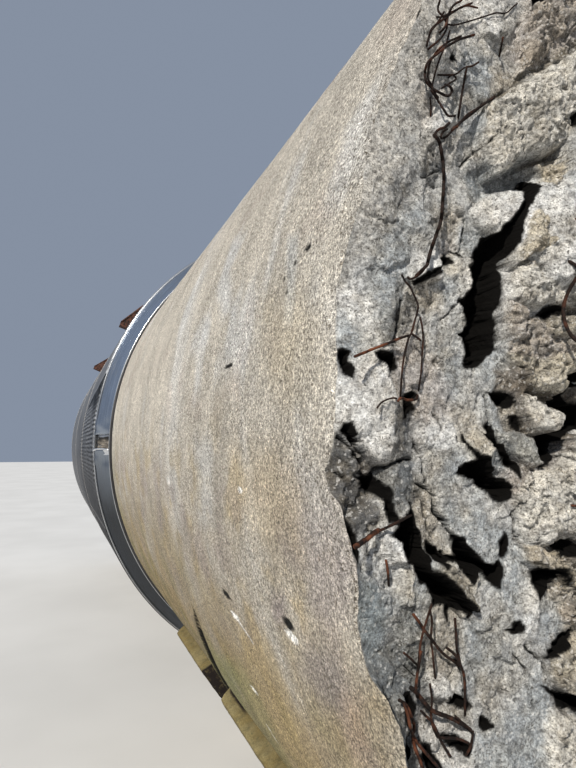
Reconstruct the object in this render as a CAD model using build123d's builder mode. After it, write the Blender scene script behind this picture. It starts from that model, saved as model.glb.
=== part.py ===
from build123d import *
import os
from math import cos, sin, radians, sqrt, tan

# Conical-bottom process tank lying on its side.  Its conical bottom is cast
# into a round concrete plinth that has been broken off its foundation.
# The steel shell runs on behind the plinth to a dished top head.
# Millimetres.  +Y runs along the tank's axis from the broken end of the
# plinth to the top head, +Z is up, z = 0 is the floor that the timber
# sleepers stand on, x = 0 is the vertical plane through the axis.

# ---------------------------------------------------------------- dimensions
axis_h = 1600.0            # tank axis above the floor
plinth_r = 1430.0          # concrete plinth, outside radius
shell_r = 1525.0           # steel shell, outside radius
shell_t = 7.0              # shell plate
total_len = 8300.0         # tips of the reinforcement to the vent flange face
front_reach = 100.0        # reinforcement stands this far out of the broken edge

# stations along the axis, counted from the broken edge of the plinth
s_core = 60.0              # back of the broken zone
s_face = -20.0             # general plane of the broken face
s_plinth = 2868.0          # far end of the plinth
s_lip = 2882.0             # far side of the lip ring, near end of the band
s_band = 3034.0            # far end of the sloping band, near side of rim ring
s_shell = 3046.0           # near edge of the shell
s_rim = 3062.0             # far side of the rim ring
s_seam1 = 4520.0           # girth seams between the shell courses
s_seam2 = 6005.0
s_seam3 = 7490.0           # shell to top head
s_flange = 8200.0          # face of the vent flange on the top head

cone_half = 30.0           # half angle of the conical bottom
cone_top_r = 1500.0        # cone outside radius at its wide end
s_cone_top = 3041.0
pipe_or = 57.15            # 4 inch pipe
pipe_ir = 51.15
cone_t = 8.0

lip_in, lip_out = 1412.0, 1444.0
rim_in, rim_out = 1500.0, 1513.0
band_t = 7.0

head_knuckle = 180.0       # torispherical top head
head_crown = 3000.0
head_straight = 40.0
head_t = 8.0

sleeper_w, sleeper_half = 200.0, 700.0
sleeper_s = (550.0, 1450.0, 2520.0)
plank_w, plank_half = 250.0, 600.0
plank_s = (5300.0, 6700.0)

y0 = front_reach - total_len / 2   # y of station 0, so that the box is centred


def at(s):
    return s + y0


os.makedirs("parts", exist_ok=True)
tank_axis = Axis((0, 0, axis_h), (0, 1, 0))
steel, concrete, timber = [], [], []


def radial(deg):
    """Plane holding the tank axis and the radius at deg above nine o'clock
    (nine o'clock is the -X side); sketch x is the radius, sketch y is y."""
    a = radians(deg)
    return Plane(origin=(0, 0, axis_h), x_dir=(-cos(a), 0, sin(a)), z_dir=(-sin(a), 0, -cos(a)))


def save(builder, label):
    builder.part.label = label
    export_step(builder.part, "parts/" + label + ".step")
    return builder.part.volume


volumes = {}

# ------------------------------------------------------------- concrete plinth
cone_slope = tan(radians(cone_half))


def cone_r(s):
    return cone_top_r - (s_cone_top - s) * cone_slope


s_tip = s_cone_top - (cone_top_r - (pipe_ir + cone_t)) / cone_slope

# one mass: plain cylinder outside, the cone's seat and the outlet's hole inside
with BuildPart() as plinth_body:
    with BuildSketch(radial(0)):
        with BuildLine():
            Polyline(
                (pipe_or, at(s_core)),
                (plinth_r, at(s_core)),
                (plinth_r, at(s_plinth)),
                (cone_r(s_plinth), at(s_plinth)),
                (cone_r(s_tip), at(s_tip)),
                (pipe_or, at(s_tip)),
                close=True,
            )
        make_face()
    revolve(axis=tank_axis)
volumes["plinth_body"] = save(plinth_body, "plinth_body")

# ragged outline of the broken zone: radii at equal steps round the axis
ragged = [1413 + 9 * sin(7.3 * i) + 6 * sin(3.1 * i + 1) for i in range(60)]
with BuildPart() as broken_end:
    with BuildSketch(Plane(origin=(0, at(s_core), axis_h), x_dir=(1, 0, 0), z_dir=(0, -1, 0))):
        with BuildLine():
            Polyline(
                *[(r * cos(radians(6 * i)), r * sin(radians(6 * i))) for i, r in enumerate(ragged)],
                close=True,
            )
        make_face()
        Circle(pipe_or, mode=Mode.SUBTRACT)
    extrude(amount=s_core - s_face)
    # slabs that have come away at the rim: slanted notches, four of them
    for turn, deep, wide in ((14, 52, 620), (101, 40, 700), (196, 56, 560), (287, 46, 760)):
        with BuildSketch(radial(turn).offset(-wide / 2)):
            with BuildLine():
                Polyline(
                    (1180, at(s_face) - 20),
                    (1180, at(s_face)),
                    (1500, at(s_face) + deep),
                    (1500, at(s_face) - 20),
                    close=True,
                )
            make_face()
        extrude(amount=wide, mode=Mode.SUBTRACT)
volumes["broken_end"] = save(broken_end, "broken_end")

# coarse lumps of the core that stand out of the broken face
lumps = (
    (-890, 420, 190, 240, 38, 8), (-760, -60, 260, 170, 40, -14), (-820, -520, 200, 190, 34, 20),
    (-380, 640, 240, 200, 30, 5), (-330, -120, 180, 230, 40, 31), (-300, -760, 230, 190, 36, -9),
    (240, 560, 210, 240, 38, 12), (330, -330, 250, 200, 34, -21), (760, 280, 210, 220, 40, 17),
    (790, -470, 230, 210, 32, 9), (120, 980, 220, 150, 28, -6), (60, -1080, 240, 140, 30, 11),
)
with BuildPart() as core_lumps:
    for cx, cz, w, h, tall, turn in lumps:
        lean = radians(turn)
        face = Plane(origin=(cx, at(s_face), axis_h + cz), x_dir=(cos(lean), 0, sin(lean)), z_dir=(0, -1, 0))
        with BuildSketch(face):
            Polygon((-w * 0.5, -h * 0.42), (w * 0.38, -h * 0.5), (w * 0.5, h * 0.3), (w * 0.05, h * 0.5), (-w * 0.46, h * 0.34))
        with BuildSketch(face.offset(tall)):
            Polygon((-w * 0.24, -h * 0.2), (w * 0.2, -h * 0.28), (w * 0.27, h * 0.14), (w * 0.02, h * 0.26), (-w * 0.22, h * 0.16))
        loft()
volumes["core_lumps"] = save(core_lumps, "core_lumps")


# patches of a 45 mm outer layer left along the lower sides of the plinth
def skin_patches(first, sweep):
    with BuildPart() as made:
        for s_a, s_b in ((300.0, 1215.0), (1416.0, 1900.0)):
            with BuildSketch(radial(first)):
                with BuildLine():
                    Polyline(
                        (plinth_r, at(s_a)),
                        (plinth_r + 45, at(s_a) + 12),
                        (plinth_r + 45, at(s_b) - 6),
                        (plinth_r, at(s_b)),
                        close=True,
                    )
                make_face()
            revolve(axis=tank_axis, revolution_arc=sweep)
    return made


patches_left = skin_patches(-58, 24.5)
volumes["skin_patches_left"] = save(patches_left, "skin_patches_left")
patches_right = skin_patches(213.5, 24.5)
volumes["skin_patches_right"] = save(patches_right, "skin_patches_right")

# ------------------------------------------------------------ conical bottom
cone_wall = cone_t / cos(radians(cone_half)) * 0.9
with BuildPart() as cone_bottom:
    with BuildSketch(radial(0)):
        with BuildLine():
            Polyline(
                (pipe_ir, at(s_tip)),
                (pipe_ir + cone_t, at(s_tip)),
                (cone_top_r, at(s_cone_top)),
                (cone_top_r - cone_t, at(s_cone_top)),
                close=True,
            )
        make_face()
    revolve(axis=tank_axis)
volumes["cone_bottom"] = save(cone_bottom, "cone_bottom")

with BuildPart() as outlet_pipe:
    with BuildSketch(Plane(origin=(0, at(s_tip), axis_h), x_dir=(-1, 0, 0), z_dir=(0, -1, 0))):
        Circle(pipe_or)
        Circle(pipe_ir, mode=Mode.SUBTRACT)
    extrude(amount=s_tip - s_face + 45)
volumes["outlet_pipe"] = save(outlet_pipe, "outlet_pipe")

# lip ring that caps the plinth's edge: a flat bar rolled on edge
with BuildPart() as lip_ring:
    with BuildSketch(radial(0)):
        with BuildLine():
            Polyline(
                (lip_in, at(s_plinth)),
                (lip_out - 3, at(s_plinth)),
                (lip_out, at(s_plinth) + 3),
                (lip_out, at(s_lip) - 3),
                (lip_out - 3, at(s_lip)),
                (lip_in, at(s_lip)),
                close=True,
            )
        make_face()
    revolve(axis=tank_axis)
volumes["lip_ring"] = save(lip_ring, "lip_ring")

# sloping band over the cone's wide end, in two halves: they meet at three
# o'clock and stand 45 mm apart at the open joint at nine o'clock
band_profile = (
    (lip_out - 4 - band_t, at(s_lip)),
    (lip_out - 4, at(s_lip)),
    (rim_out, at(s_band)),
    (rim_out - band_t, at(s_band)),
)
with BuildPart() as band_upper:
    with BuildSketch(radial(1.8)):
        with BuildLine():
            Polyline(*band_profile, close=True)
        make_face()
    revolve(axis=tank_axis, revolution_arc=178.1)
volumes["band_upper"] = save(band_upper, "band_upper")
with BuildPart() as band_lower:
    with BuildSketch(radial(180)):
        with BuildLine():
            Polyline(*band_profile, close=True)
        make_face()
    revolve(axis=tank_axis, revolution_arc=179.9)
volumes["band_lower"] = save(band_lower, "band_lower")

# rim ring between the band and the shell
with BuildPart() as rim_ring:
    with BuildSketch(radial(0)):
        with BuildLine():
            Polyline(
                (rim_in, at(s_band)),
                (rim_out - 2, at(s_band)),
                (rim_out, at(s_band) + 2),
                (rim_out, at(s_shell)),
                (shell_r - shell_t, at(s_shell)),
                (shell_r - shell_t, at(s_rim)),
                (rim_in, at(s_rim)),
                close=True,
            )
        make_face()
    revolve(axis=tank_axis)
volumes["rim_ring"] = save(rim_ring, "rim_ring")


# ---------------------------------------------------------------- shell plates
# three courses, each rolled from two plates; the long seams are staggered
def shell_plate(s_a, s_b, first):
    with BuildPart() as made:
        with BuildSketch(radial(first)):
            with BuildLine():
                Polyline(
                    (shell_r - shell_t, at(s_a)),
                    (shell_r, at(s_a)),
                    (shell_r, at(s_b)),
                    (shell_r - shell_t, at(s_b)),
                    close=True,
                )
            make_face()
        revolve(axis=tank_axis, revolution_arc=180)
    return made


course_1_upper = shell_plate(s_shell, s_seam1, -20)
volumes["course_1_upper"] = save(course_1_upper, "course_1_upper")
course_1_lower = shell_plate(s_shell, s_seam1, 160)
volumes["course_1_lower"] = save(course_1_lower, "course_1_lower")
course_2_upper = shell_plate(s_seam1, s_seam2, 25)
volumes["course_2_upper"] = save(course_2_upper, "course_2_upper")
course_2_lower = shell_plate(s_seam1, s_seam2, 205)
volumes["course_2_lower"] = save(course_2_lower, "course_2_lower")
course_3_upper = shell_plate(s_seam2, s_seam3, -20)
volumes["course_3_upper"] = save(course_3_upper, "course_3_upper")
course_3_lower = shell_plate(s_seam2, s_seam3, 160)
volumes["course_3_lower"] = save(course_3_lower, "course_3_lower")

# weld beads of the three girth seams
with BuildPart() as girth_welds:
    for s in (s_seam1, s_seam2, s_seam3):
        with BuildSketch(radial(0)):
            with BuildLine():
                Polyline(
                    (shell_r, at(s) - 6),
                    (shell_r + 2.5, at(s) - 3),
                    (shell_r + 2.5, at(s) + 3),
                    (shell_r, at(s) + 6),
                    close=True,
                )
            make_face()
        revolve(axis=tank_axis)
volumes["girth_welds"] = save(girth_welds, "girth_welds")

# -------------------------------------------------------------------- top head
s_tan = s_seam3 + head_straight
kn_c = (shell_r - head_knuckle, s_tan)                       # knuckle's centre
crown_c_s = s_tan - sqrt((head_crown - head_knuckle) ** 2 - kn_c[0] ** 2)
k_len = sqrt(kn_c[0] ** 2 + (s_tan - crown_c_s) ** 2)
ux, us = kn_c[0] / k_len, (s_tan - crown_c_s) / k_len        # towards the meeting point
meet_o = (ux * head_crown, crown_c_s + us * head_crown)
meet_i = (ux * (head_crown - head_t), crown_c_s + us * (head_crown - head_t))
mid_a = radians(45)
half_k = (ux + 1) / 2, us / 2
hk = sqrt(half_k[0] ** 2 + half_k[1] ** 2)
mid_o = (kn_c[0] + head_knuckle * half_k[0] / hk, kn_c[1] + head_knuckle * half_k[1] / hk)
mid_i = (kn_c[0] + (head_knuckle - head_t) * half_k[0] / hk, kn_c[1] + (head_knuckle - head_t) * half_k[1] / hk)
s_apex = crown_c_s + head_crown

with BuildPart() as top_knuckle:
    with BuildSketch(radial(0)):
        with BuildLine():
            Line((shell_r - head_t, at(s_seam3)), (shell_r, at(s_seam3)))
            Line((shell_r, at(s_seam3)), (shell_r, at(s_tan)))
            ThreePointArc((shell_r, at(s_tan)), (mid_o[0], at(mid_o[1])), (meet_o[0], at(meet_o[1])))
            Line((meet_o[0], at(meet_o[1])), (meet_i[0], at(meet_i[1])))
            ThreePointArc((meet_i[0], at(meet_i[1])), (mid_i[0], at(mid_i[1])), (shell_r - head_t, at(s_tan)))
            Line((shell_r - head_t, at(s_tan)), (shell_r - head_t, at(s_seam3)))
        make_face()
    revolve(axis=tank_axis)
volumes["top_knuckle"] = save(top_knuckle, "top_knuckle")

manway_z, inlet_z = 820.0, -850.0      # above and below the axis
manway_or, manway_t = 305.0, 8.0
inlet_or, inlet_ir = 44.45, 38.95

crown_in = head_crown - head_t
quarter = ux / 2
mid_co = (quarter * head_crown, crown_c_s + sqrt(1 - quarter**2) * head_crown)
mid_ci = (quarter * crown_in, crown_c_s + sqrt(1 - quarter**2) * crown_in)
with BuildPart() as top_crown:
    with BuildSketch(radial(0)):
        with BuildLine():
            Line((0, at(crown_c_s + crown_in)), (0, at(s_apex)))
            ThreePointArc((0, at(s_apex)), (mid_co[0], at(mid_co[1])), (meet_o[0], at(meet_o[1])))
            Line((meet_o[0], at(meet_o[1])), (meet_i[0], at(meet_i[1])))
            ThreePointArc((meet_i[0], at(meet_i[1])), (mid_ci[0], at(mid_ci[1])), (0, at(crown_c_s + crown_in)))
        make_face()
    revolve(axis=tank_axis)
    with BuildSketch(Plane(origin=(0, at(7600), axis_h), x_dir=(-1, 0, 0), z_dir=(0, 1, 0))):
        with Locations((0, manway_z)):
            Circle(manway_or)
        with Locations((0, 0)):
            Circle(pipe_or)
        with Locations((0, inlet_z)):
            Circle(inlet_or)
    extrude(amount=700, mode=Mode.SUBTRACT)
volumes["top_crown"] = save(top_crown, "top_crown")


def end_plane(s, z):
    """Plane across the axis at station s, facing +Y, centred z above the axis."""
    return Plane(origin=(0, at(s), axis_h + z), x_dir=(-1, 0, 0), z_dir=(0, 1, 0))


# manway: neck, flange, bolted cover and its two lifting handles
with BuildPart() as manway_neck:
    with BuildSketch(end_plane(7700, manway_z)):
        Circle(manway_or)
        Circle(manway_or - manway_t, mode=Mode.SUBTRACT)
    extrude(amount=384)
volumes["manway_neck"] = save(manway_neck, "manway_neck")
with BuildPart() as manway_flange:
    with BuildSketch(end_plane(8064, manway_z)):
        Circle(380)
        Circle(manway_or, mode=Mode.SUBTRACT)
        with PolarLocations(345, 20):
            Circle(10, mode=Mode.SUBTRACT)
    extrude(amount=20)
volumes["manway_flange"] = save(manway_flange, "manway_flange")
with BuildPart() as manway_cover:
    with BuildSketch(end_plane(8084, manway_z)):
        Circle(380)
    extrude(amount=18)
    chamfer(manway_cover.edges().filter_by(GeomType.CIRCLE).sort_by(Axis.Y)[-1], length=3)
volumes["manway_cover"] = save(manway_cover, "manway_cover")
with BuildPart() as manway_bolts:
    with BuildSketch(end_plane(8102, manway_z)):
        with PolarLocations(345, 20):
            RegularPolygon(radius=16, side_count=6)
    extrude(amount=13)
volumes["manway_bolts"] = save(manway_bolts, "manway_bolts")
with BuildPart() as manway_handles:
    for side in (-1, 1):
        with BuildSketch(end_plane(8102, manway_z)):
            with Locations((side * 150, -60), (side * 150, 60)):
                Circle(8)
        extrude(amount=46)
        with BuildSketch(Plane(origin=(-side * 150, at(8148), axis_h + manway_z - 68), x_dir=(1, 0, 0), z_dir=(0, 0, 1))):
            Rectangle(16, 16)
        extrude(amount=136)
volumes["manway_handles"] = save(manway_handles, "manway_handles")

# vent nozzle on the axis, 4 inch, and inlet nozzle below it, 3 inch
with BuildPart() as vent_nozzle:
    with BuildSketch(end_plane(7980, 0)):
        Circle(pipe_or)
        Circle(pipe_ir, mode=Mode.SUBTRACT)
    extrude(amount=s_flange - 7980)
volumes["vent_nozzle"] = save(vent_nozzle, "vent_nozzle")
with BuildPart() as vent_flange:
    with BuildSketch(end_plane(s_flange - 24, 0)):
        Circle(114.5)
        Circle(pipe_or, mode=Mode.SUBTRACT)
        with PolarLocations(95.25, 8, start_angle=22.5):
            Circle(9.5, mode=Mode.SUBTRACT)
    extrude(amount=24)
volumes["vent_flange"] = save(vent_flange, "vent_flange")
with BuildPart() as inlet_nozzle:
    with BuildSketch(end_plane(7850, inlet_z)):
        Circle(inlet_or)
        Circle(inlet_ir, mode=Mode.SUBTRACT)
    extrude(amount=300)
volumes["inlet_nozzle"] = save(inlet_nozzle, "inlet_nozzle")
with BuildPart() as inlet_flange:
    with BuildSketch(end_plane(8126, inlet_z)):
        Circle(95.25)
        Circle(inlet_or, mode=Mode.SUBTRACT)
        with PolarLocations(76.2, 4, start_angle=45):
            Circle(9.5, mode=Mode.SUBTRACT)
    extrude(amount=24)
volumes["inlet_flange"] = save(inlet_flange, "inlet_flange")


# --------------------------------------------------------------- lifting lugs
def polar_point(deg, r):
    """Point across the axis, deg above nine o'clock, in sketch coordinates."""
    return (r * cos(radians(deg)), r * sin(radians(deg)))


with BuildPart() as lugs_left:
    # two folded brackets on one line along the shell, 30 to 37 degrees up
    for s_a, proud, wide in ((3240.0, 52.0, 70.0), (5600.0, 80.0, 60.0)):
        with BuildSketch(Plane(origin=(0, at(s_a), axis_h), x_dir=(-1, 0, 0), z_dir=(0, 1, 0))):
            with BuildLine():
                Line(polar_point(30.0, shell_r), polar_point(29.6, shell_r + proud))
                Line(polar_point(29.6, shell_r + proud), polar_point(30.6, shell_r + proud + 6))
                Line(polar_point(30.6, shell_r + proud + 6), polar_point(37.2, shell_r + 12))
                Line(polar_point(37.2, shell_r + 12), polar_point(37.2, shell_r))
                ThreePointArc(polar_point(37.2, shell_r), polar_point(33.6, shell_r), polar_point(30.0, shell_r))
            make_face()
        extrude(amount=wide)
volumes["lugs_left"] = save(lugs_left, "lugs_left")
with BuildPart() as lugs_right:
    add(mirror(lugs_left.part, about=Plane.YZ))
volumes["lugs_right"] = save(lugs_right, "lugs_right")

# ------------------------------------------------- reinforcement at the face
# straight stand-ins for the bars and tying wires that stand out of the break,
# each one starting on the face: position across the axis, lean, length
wires = (
    (-1195, 655, 2.5, 78), (-1170, 560, 2.5, 70), (-1185, 430, 3.5, 72), (-1240, 215, 3.5, 80),
    (-1210, -250, 3.5, 66), (-1215, -480, 4.5, 74), (-1150, -620, 2.5, 80), (-1110, -690, 2.5, 62),
    (-430, 1180, 3.5, 80), (460, 1150, 3.5, 64), (1190, 420, 3.5, 72), (1200, -360, 3.5, 80),
    (620, -1060, 3.5, 58), (-380, -1190, 3.5, 70),
)
with BuildPart() as tie_wires:
    for wx, wz, wr, wl in wires:
        with BuildSketch(Plane(origin=(wx, at(s_face), axis_h + wz), x_dir=(-1, 0, 0), z_dir=(0, -1, 0))):
            Circle(wr)
        extrude(amount=wl)
volumes["tie_wires"] = save(tie_wires, "tie_wires")


# ------------------------------------------------------------ timber sleepers
def sleeper(s, wide, half, tall):
    with BuildPart() as made:
        with BuildSketch(Plane(origin=(0, at(s), 0), x_dir=(1, 0, 0), z_dir=(0, 0, 1))):
            Rectangle(2 * half, wide)
        extrude(amount=tall)
        chamfer(made.edges().filter_by(Axis.X), length=6)
    return made


plinth_lift = axis_h - plinth_r
shell_lift = axis_h - shell_r
sleeper_front = sleeper(sleeper_s[0], sleeper_w, sleeper_half, plinth_lift)
volumes["sleeper_front"] = save(sleeper_front, "sleeper_front")
sleeper_middle = sleeper(sleeper_s[1], sleeper_w, sleeper_half, plinth_lift)
volumes["sleeper_middle"] = save(sleeper_middle, "sleeper_middle")
sleeper_rear = sleeper(sleeper_s[2], sleeper_w, sleeper_half, plinth_lift)
volumes["sleeper_rear"] = save(sleeper_rear, "sleeper_rear")
shell_plank_near = sleeper(plank_s[0], plank_w, plank_half, shell_lift)
volumes["shell_plank_near"] = save(shell_plank_near, "shell_plank_near")
shell_plank_far = sleeper(plank_s[1], plank_w, plank_half, shell_lift)
volumes["shell_plank_far"] = save(shell_plank_far, "shell_plank_far")


# wedges spiked to the sleepers on both sides, cut to the round they hold
def wedges(side, places, wide, r, top, x_in, x_out):
    with BuildPart() as made:
        for s in places:
            plane = Plane(origin=(0, at(s) + wide / 2, 0), x_dir=(1, 0, 0), z_dir=(0, -1, 0))
            z_in = axis_h - sqrt(r**2 - x_in**2)
            z_out = axis_h - sqrt(r**2 - x_out**2)
            x_mid = (x_in + x_out) / 2
            z_mid = axis_h - sqrt(r**2 - x_mid**2)
            with BuildSketch(plane):
                with BuildLine():
                    Line((side * x_in, top), (side * (x_out + 30), top))
                    Line((side * (x_out + 30), top), (side * (x_out + 30), z_out))
                    Line((side * (x_out + 30), z_out), (side * x_out, z_out))
                    ThreePointArc((side * x_out, z_out), (side * x_mid, z_mid), (side * x_in, z_in))
                    Line((side * x_in, z_in), (side * x_in, top))
                make_face()
            extrude(amount=wide)
    return made


wedges_left = wedges(-1, sleeper_s, 150, plinth_r, plinth_lift, 260, 610)
volumes["wedges_left"] = save(wedges_left, "wedges_left")
wedges_right = wedges(1, sleeper_s, 150, plinth_r, plinth_lift, 260, 610)
volumes["wedges_right"] = save(wedges_right, "wedges_right")
shell_wedges_left = wedges(-1, plank_s, 150, shell_r, shell_lift, 260, 520)
volumes["shell_wedges_left"] = save(shell_wedges_left, "shell_wedges_left")
shell_wedges_right = wedges(1, plank_s, 150, shell_r, shell_lift, 260, 520)
volumes["shell_wedges_right"] = save(shell_wedges_right, "shell_wedges_right")

for label, volume in volumes.items():
    print(f"{label:24s} {volume / 1e9:10.5f} m3")
print("station 0 is at y =", y0, " apex of the head at station", round(s_apex, 1), " cone tip", round(s_tip, 1))
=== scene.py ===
import math

import bpy
import numpy as np
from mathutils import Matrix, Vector


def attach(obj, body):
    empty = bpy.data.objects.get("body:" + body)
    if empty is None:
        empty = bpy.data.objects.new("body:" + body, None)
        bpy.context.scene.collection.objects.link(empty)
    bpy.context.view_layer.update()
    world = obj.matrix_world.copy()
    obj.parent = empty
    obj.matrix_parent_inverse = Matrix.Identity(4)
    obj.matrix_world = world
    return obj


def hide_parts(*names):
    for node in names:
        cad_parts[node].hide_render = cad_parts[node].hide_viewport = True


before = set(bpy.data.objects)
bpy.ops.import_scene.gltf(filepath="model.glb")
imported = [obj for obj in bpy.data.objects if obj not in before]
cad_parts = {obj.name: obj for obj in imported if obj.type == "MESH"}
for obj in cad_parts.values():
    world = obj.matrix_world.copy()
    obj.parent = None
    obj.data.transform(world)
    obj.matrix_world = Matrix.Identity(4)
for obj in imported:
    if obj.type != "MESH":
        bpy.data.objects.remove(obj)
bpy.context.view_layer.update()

# Looks of a conical bottom tank that lies on its side, its bottom cast into a
# round concrete plinth with a broken end.  Metres, Z up, Y along the axis.
# A station is the distance along the axis from the broken edge.
AXIS = 1.600            # height of the tank's axis
R = 1.430               # plinth radius
Y0 = -4.050             # y of station 0
S_PLINTH = 2.868        # far end of the plinth
SHELL_R = 1.525
sin, cos, pi = math.sin, math.cos, math.pi
scene = bpy.context.scene
collection = scene.collection

# ------------------------------------------------------------------ camera
EYE = np.array([-1.7362, -4.6360, 1.5700])
YAW, PITCH = math.radians(22.48), math.radians(6.40)
FORWARD = np.array([sin(YAW) * cos(PITCH), cos(YAW) * cos(PITCH), sin(PITCH)])
RIGHT = np.array([cos(YAW), -sin(YAW), 0.0])
UP = np.cross(RIGHT, FORWARD)
FOCAL = 560.0           # in pixels of the 576 x 768 frame

camera = bpy.data.objects.new("camera", bpy.data.cameras.new("camera"))
collection.objects.link(camera)
camera.location = EYE
camera.rotation_mode = "QUATERNION"
camera.rotation_quaternion = Vector(FORWARD).to_track_quat("-Z", "Y")
camera.data.sensor_fit = "AUTO"
camera.data.sensor_width = 36.0
camera.data.lens = 36.0 * FOCAL / 768.0
camera.data.clip_start = 0.02
camera.data.clip_end = 200.0
scene.camera = camera


def sight(u, v):
    """Direction of the line of sight through a point of the frame."""
    return FORWARD + RIGHT * ((u - 288.0) / FOCAL) - UP * ((v - 384.0) / FOCAL)


def face_point(u, v, s):
    """x and height above the axis where that line of sight meets station s."""
    d = sight(u, v)
    k = (s + Y0 - EYE[1]) / d[1]
    return EYE[0] + k * d[0], EYE[2] + k * d[2] - AXIS


def wall_point(u, v, r=R):
    """Station and angle above nine o'clock where it meets a cylinder."""
    d = sight(u, v)
    a, b, c = d[0] ** 2 + d[2] ** 2, 2 * (EYE[0] * d[0] + (EYE[2] - AXIS) * d[2]), EYE[0] ** 2 + (EYE[2] - AXIS) ** 2 - r * r
    k = (-b - math.sqrt(max(b * b - 4 * a * c, 0.0))) / (2 * a)
    p = EYE + k * d
    return p[1] - Y0, math.atan2(p[2] - AXIS, -p[0])


# ------------------------------------------------------------------- noise
_r = np.random.RandomState(11)
PERM = np.concatenate([_r.permutation(256)] * 2).astype(np.int64)
GRAD = _r.normal(size=(256, 3))
GRAD = (GRAD / np.linalg.norm(GRAD, axis=1)[:, None]).astype(np.float32)


def perlin(x, y, z):
    """Gradient noise, about -1 to 1."""
    x, y, z = (np.asarray(q, np.float32) for q in np.broadcast_arrays(x, y, z))
    xi, yi, zi = (np.floor(q).astype(np.int64) for q in (x, y, z))
    xf, yf, zf = x - xi, y - yi, z - zi
    u, v, w = (q * q * q * (q * (q * 6 - 15) + 10) for q in (xf, yf, zf))

    def corner(i, j, k):
        g = GRAD[PERM[(PERM[(PERM[(xi + i) & 255] + yi + j) & 255] + zi + k) & 255]]
        return g[..., 0] * (xf - i) + g[..., 1] * (yf - j) + g[..., 2] * (zf - k)

    x00 = corner(0, 0, 0) * (1 - u) + corner(1, 0, 0) * u
    x10 = corner(0, 1, 0) * (1 - u) + corner(1, 1, 0) * u
    x01 = corner(0, 0, 1) * (1 - u) + corner(1, 0, 1) * u
    x11 = corner(0, 1, 1) * (1 - u) + corner(1, 1, 1) * u
    return ((x00 * (1 - v) + x10 * v) * (1 - w) + (x01 * (1 - v) + x11 * v) * w) * 1.55


def fbm(x, y, z, f, octaves=4, gain=0.5):
    total, a, norm = 0.0, 1.0, 0.0
    for k in range(octaves):
        total = total + a * perlin(x * f + 17.3 * k, y * f - 9.1 * k, z * f + 5.7 * k)
        norm += a
        a *= gain
        f *= 2.03
    return total / norm


def chance(i, j, seed):
    """Hash of a cell, 0 to 1."""
    h = (i * 374761393 + j * 668265263 + seed * 1442695041) & 0xFFFFFFFF
    h = ((h ^ (h >> 13)) * 1274126177) & 0xFFFFFFFF
    h = ((h ^ (h >> 16)) * 2246822519) & 0xFFFFFFFF
    return ((h ^ (h >> 15)) & 0xFFFFFF).astype(np.float32) / 16777216.0


def cells(x, y, f, seed, jitter=0.95):
    """Nearest and second distance, offset to the nearest point and its cell."""
    x, y = np.asarray(x) * f, np.asarray(y) * f
    xi, yi = np.floor(x).astype(np.int64), np.floor(y).astype(np.int64)
    one = np.full(x.shape, 9.0)
    two = np.full(x.shape, 9.0)
    ox, oy = np.zeros(x.shape), np.zeros(x.shape)
    ci, cj = xi.copy(), yi.copy()
    for i in (-1, 0, 1):
        for j in (-1, 0, 1):
            a, b = xi + i, yi + j
            px = a + 0.5 + jitter * (chance(a, b, seed) - 0.5)
            py = b + 0.5 + jitter * (chance(a, b, seed + 1) - 0.5)
            d = np.hypot(px - x, py - y)
            near = d < one
            two = np.where(near, one, np.minimum(two, d))
            ox, oy = np.where(near, x - px, ox), np.where(near, y - py, oy)
            ci, cj = np.where(near, a, ci), np.where(near, b, cj)
            one = np.where(near, d, one)
    return one, two, ox, oy, ci, cj


def facets(x, y, f, seed, tilt=1.0):
    """Broken-plane noise: each cell is a plane with its own height and slope."""
    _, _, ox, oy, ci, cj = cells(x, y, f, seed)
    return (
        (chance(ci, cj, seed + 2) - 0.5)
        + tilt * (chance(ci, cj, seed + 3) - 0.5) * ox * 2
        + tilt * (chance(ci, cj, seed + 4) - 0.5) * oy * 2
    )


def step(a, b, x):
    t = np.clip((x - a) / (b - a), 0, 1)
    return t * t * (3 - 2 * t)


def outline_distance(x, y, points, closed=True):
    """Distance to a polyline, signed (inside negative) when closed."""
    pts = np.asarray(points, float)
    n = len(pts)
    best = np.full(np.shape(x), 1e9)
    inside = np.zeros(np.shape(x), bool)
    for i in range(n if closed else n - 1):
        (ax, ay), (bx, by) = pts[i], pts[(i + 1) % n]
        ex, ey = bx - ax, by - ay
        t = np.clip(((x - ax) * ex + (y - ay) * ey) / (ex * ex + ey * ey + 1e-12), 0, 1)
        best = np.minimum(best, np.hypot(x - ax - t * ex, y - ay - t * ey))
        if closed:
            cross = ((ay > y) != (by > y)) & (x < (bx - ax) * (y - ay) / (by - ay + 1e-15) + ax)
            inside ^= cross
    return np.where(inside, -best, best) if closed else best


# ------------------------------------------------------------------ meshes
def mesh_object(name, verts, faces, material, smooth=True, colours=None, values=None):
    verts, faces = np.asarray(verts, np.float32).reshape(-1, 3), np.asarray(faces, np.int32)
    k = faces.shape[1]
    me = bpy.data.meshes.new(name)
    me.vertices.add(len(verts))
    me.vertices.foreach_set("co", verts.ravel())
    me.loops.add(faces.size)
    me.loops.foreach_set("vertex_index", faces.ravel())
    me.polygons.add(len(faces))
    me.polygons.foreach_set("loop_start", np.arange(0, faces.size, k, dtype=np.int32))
    me.update(calc_edges=True)
    me.polygons.foreach_set("use_smooth", np.full(len(faces), smooth))
    for label, c in (colours or {}).items():
        a = me.color_attributes.new(name=label, type="FLOAT_COLOR", domain="POINT")
        a.data.foreach_set("color", np.concatenate([c, np.ones((len(c), 1))], 1).astype(np.float32).ravel())
    for label, w in (values or {}).items():
        a = me.attributes.new(name=label, type="FLOAT", domain="POINT")
        a.data.foreach_set("value", np.asarray(w, np.float32).ravel())
    me.materials.append(material)
    ob = bpy.data.objects.new(name, me)
    collection.objects.link(ob)
    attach(ob, "root")
    return ob


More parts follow.
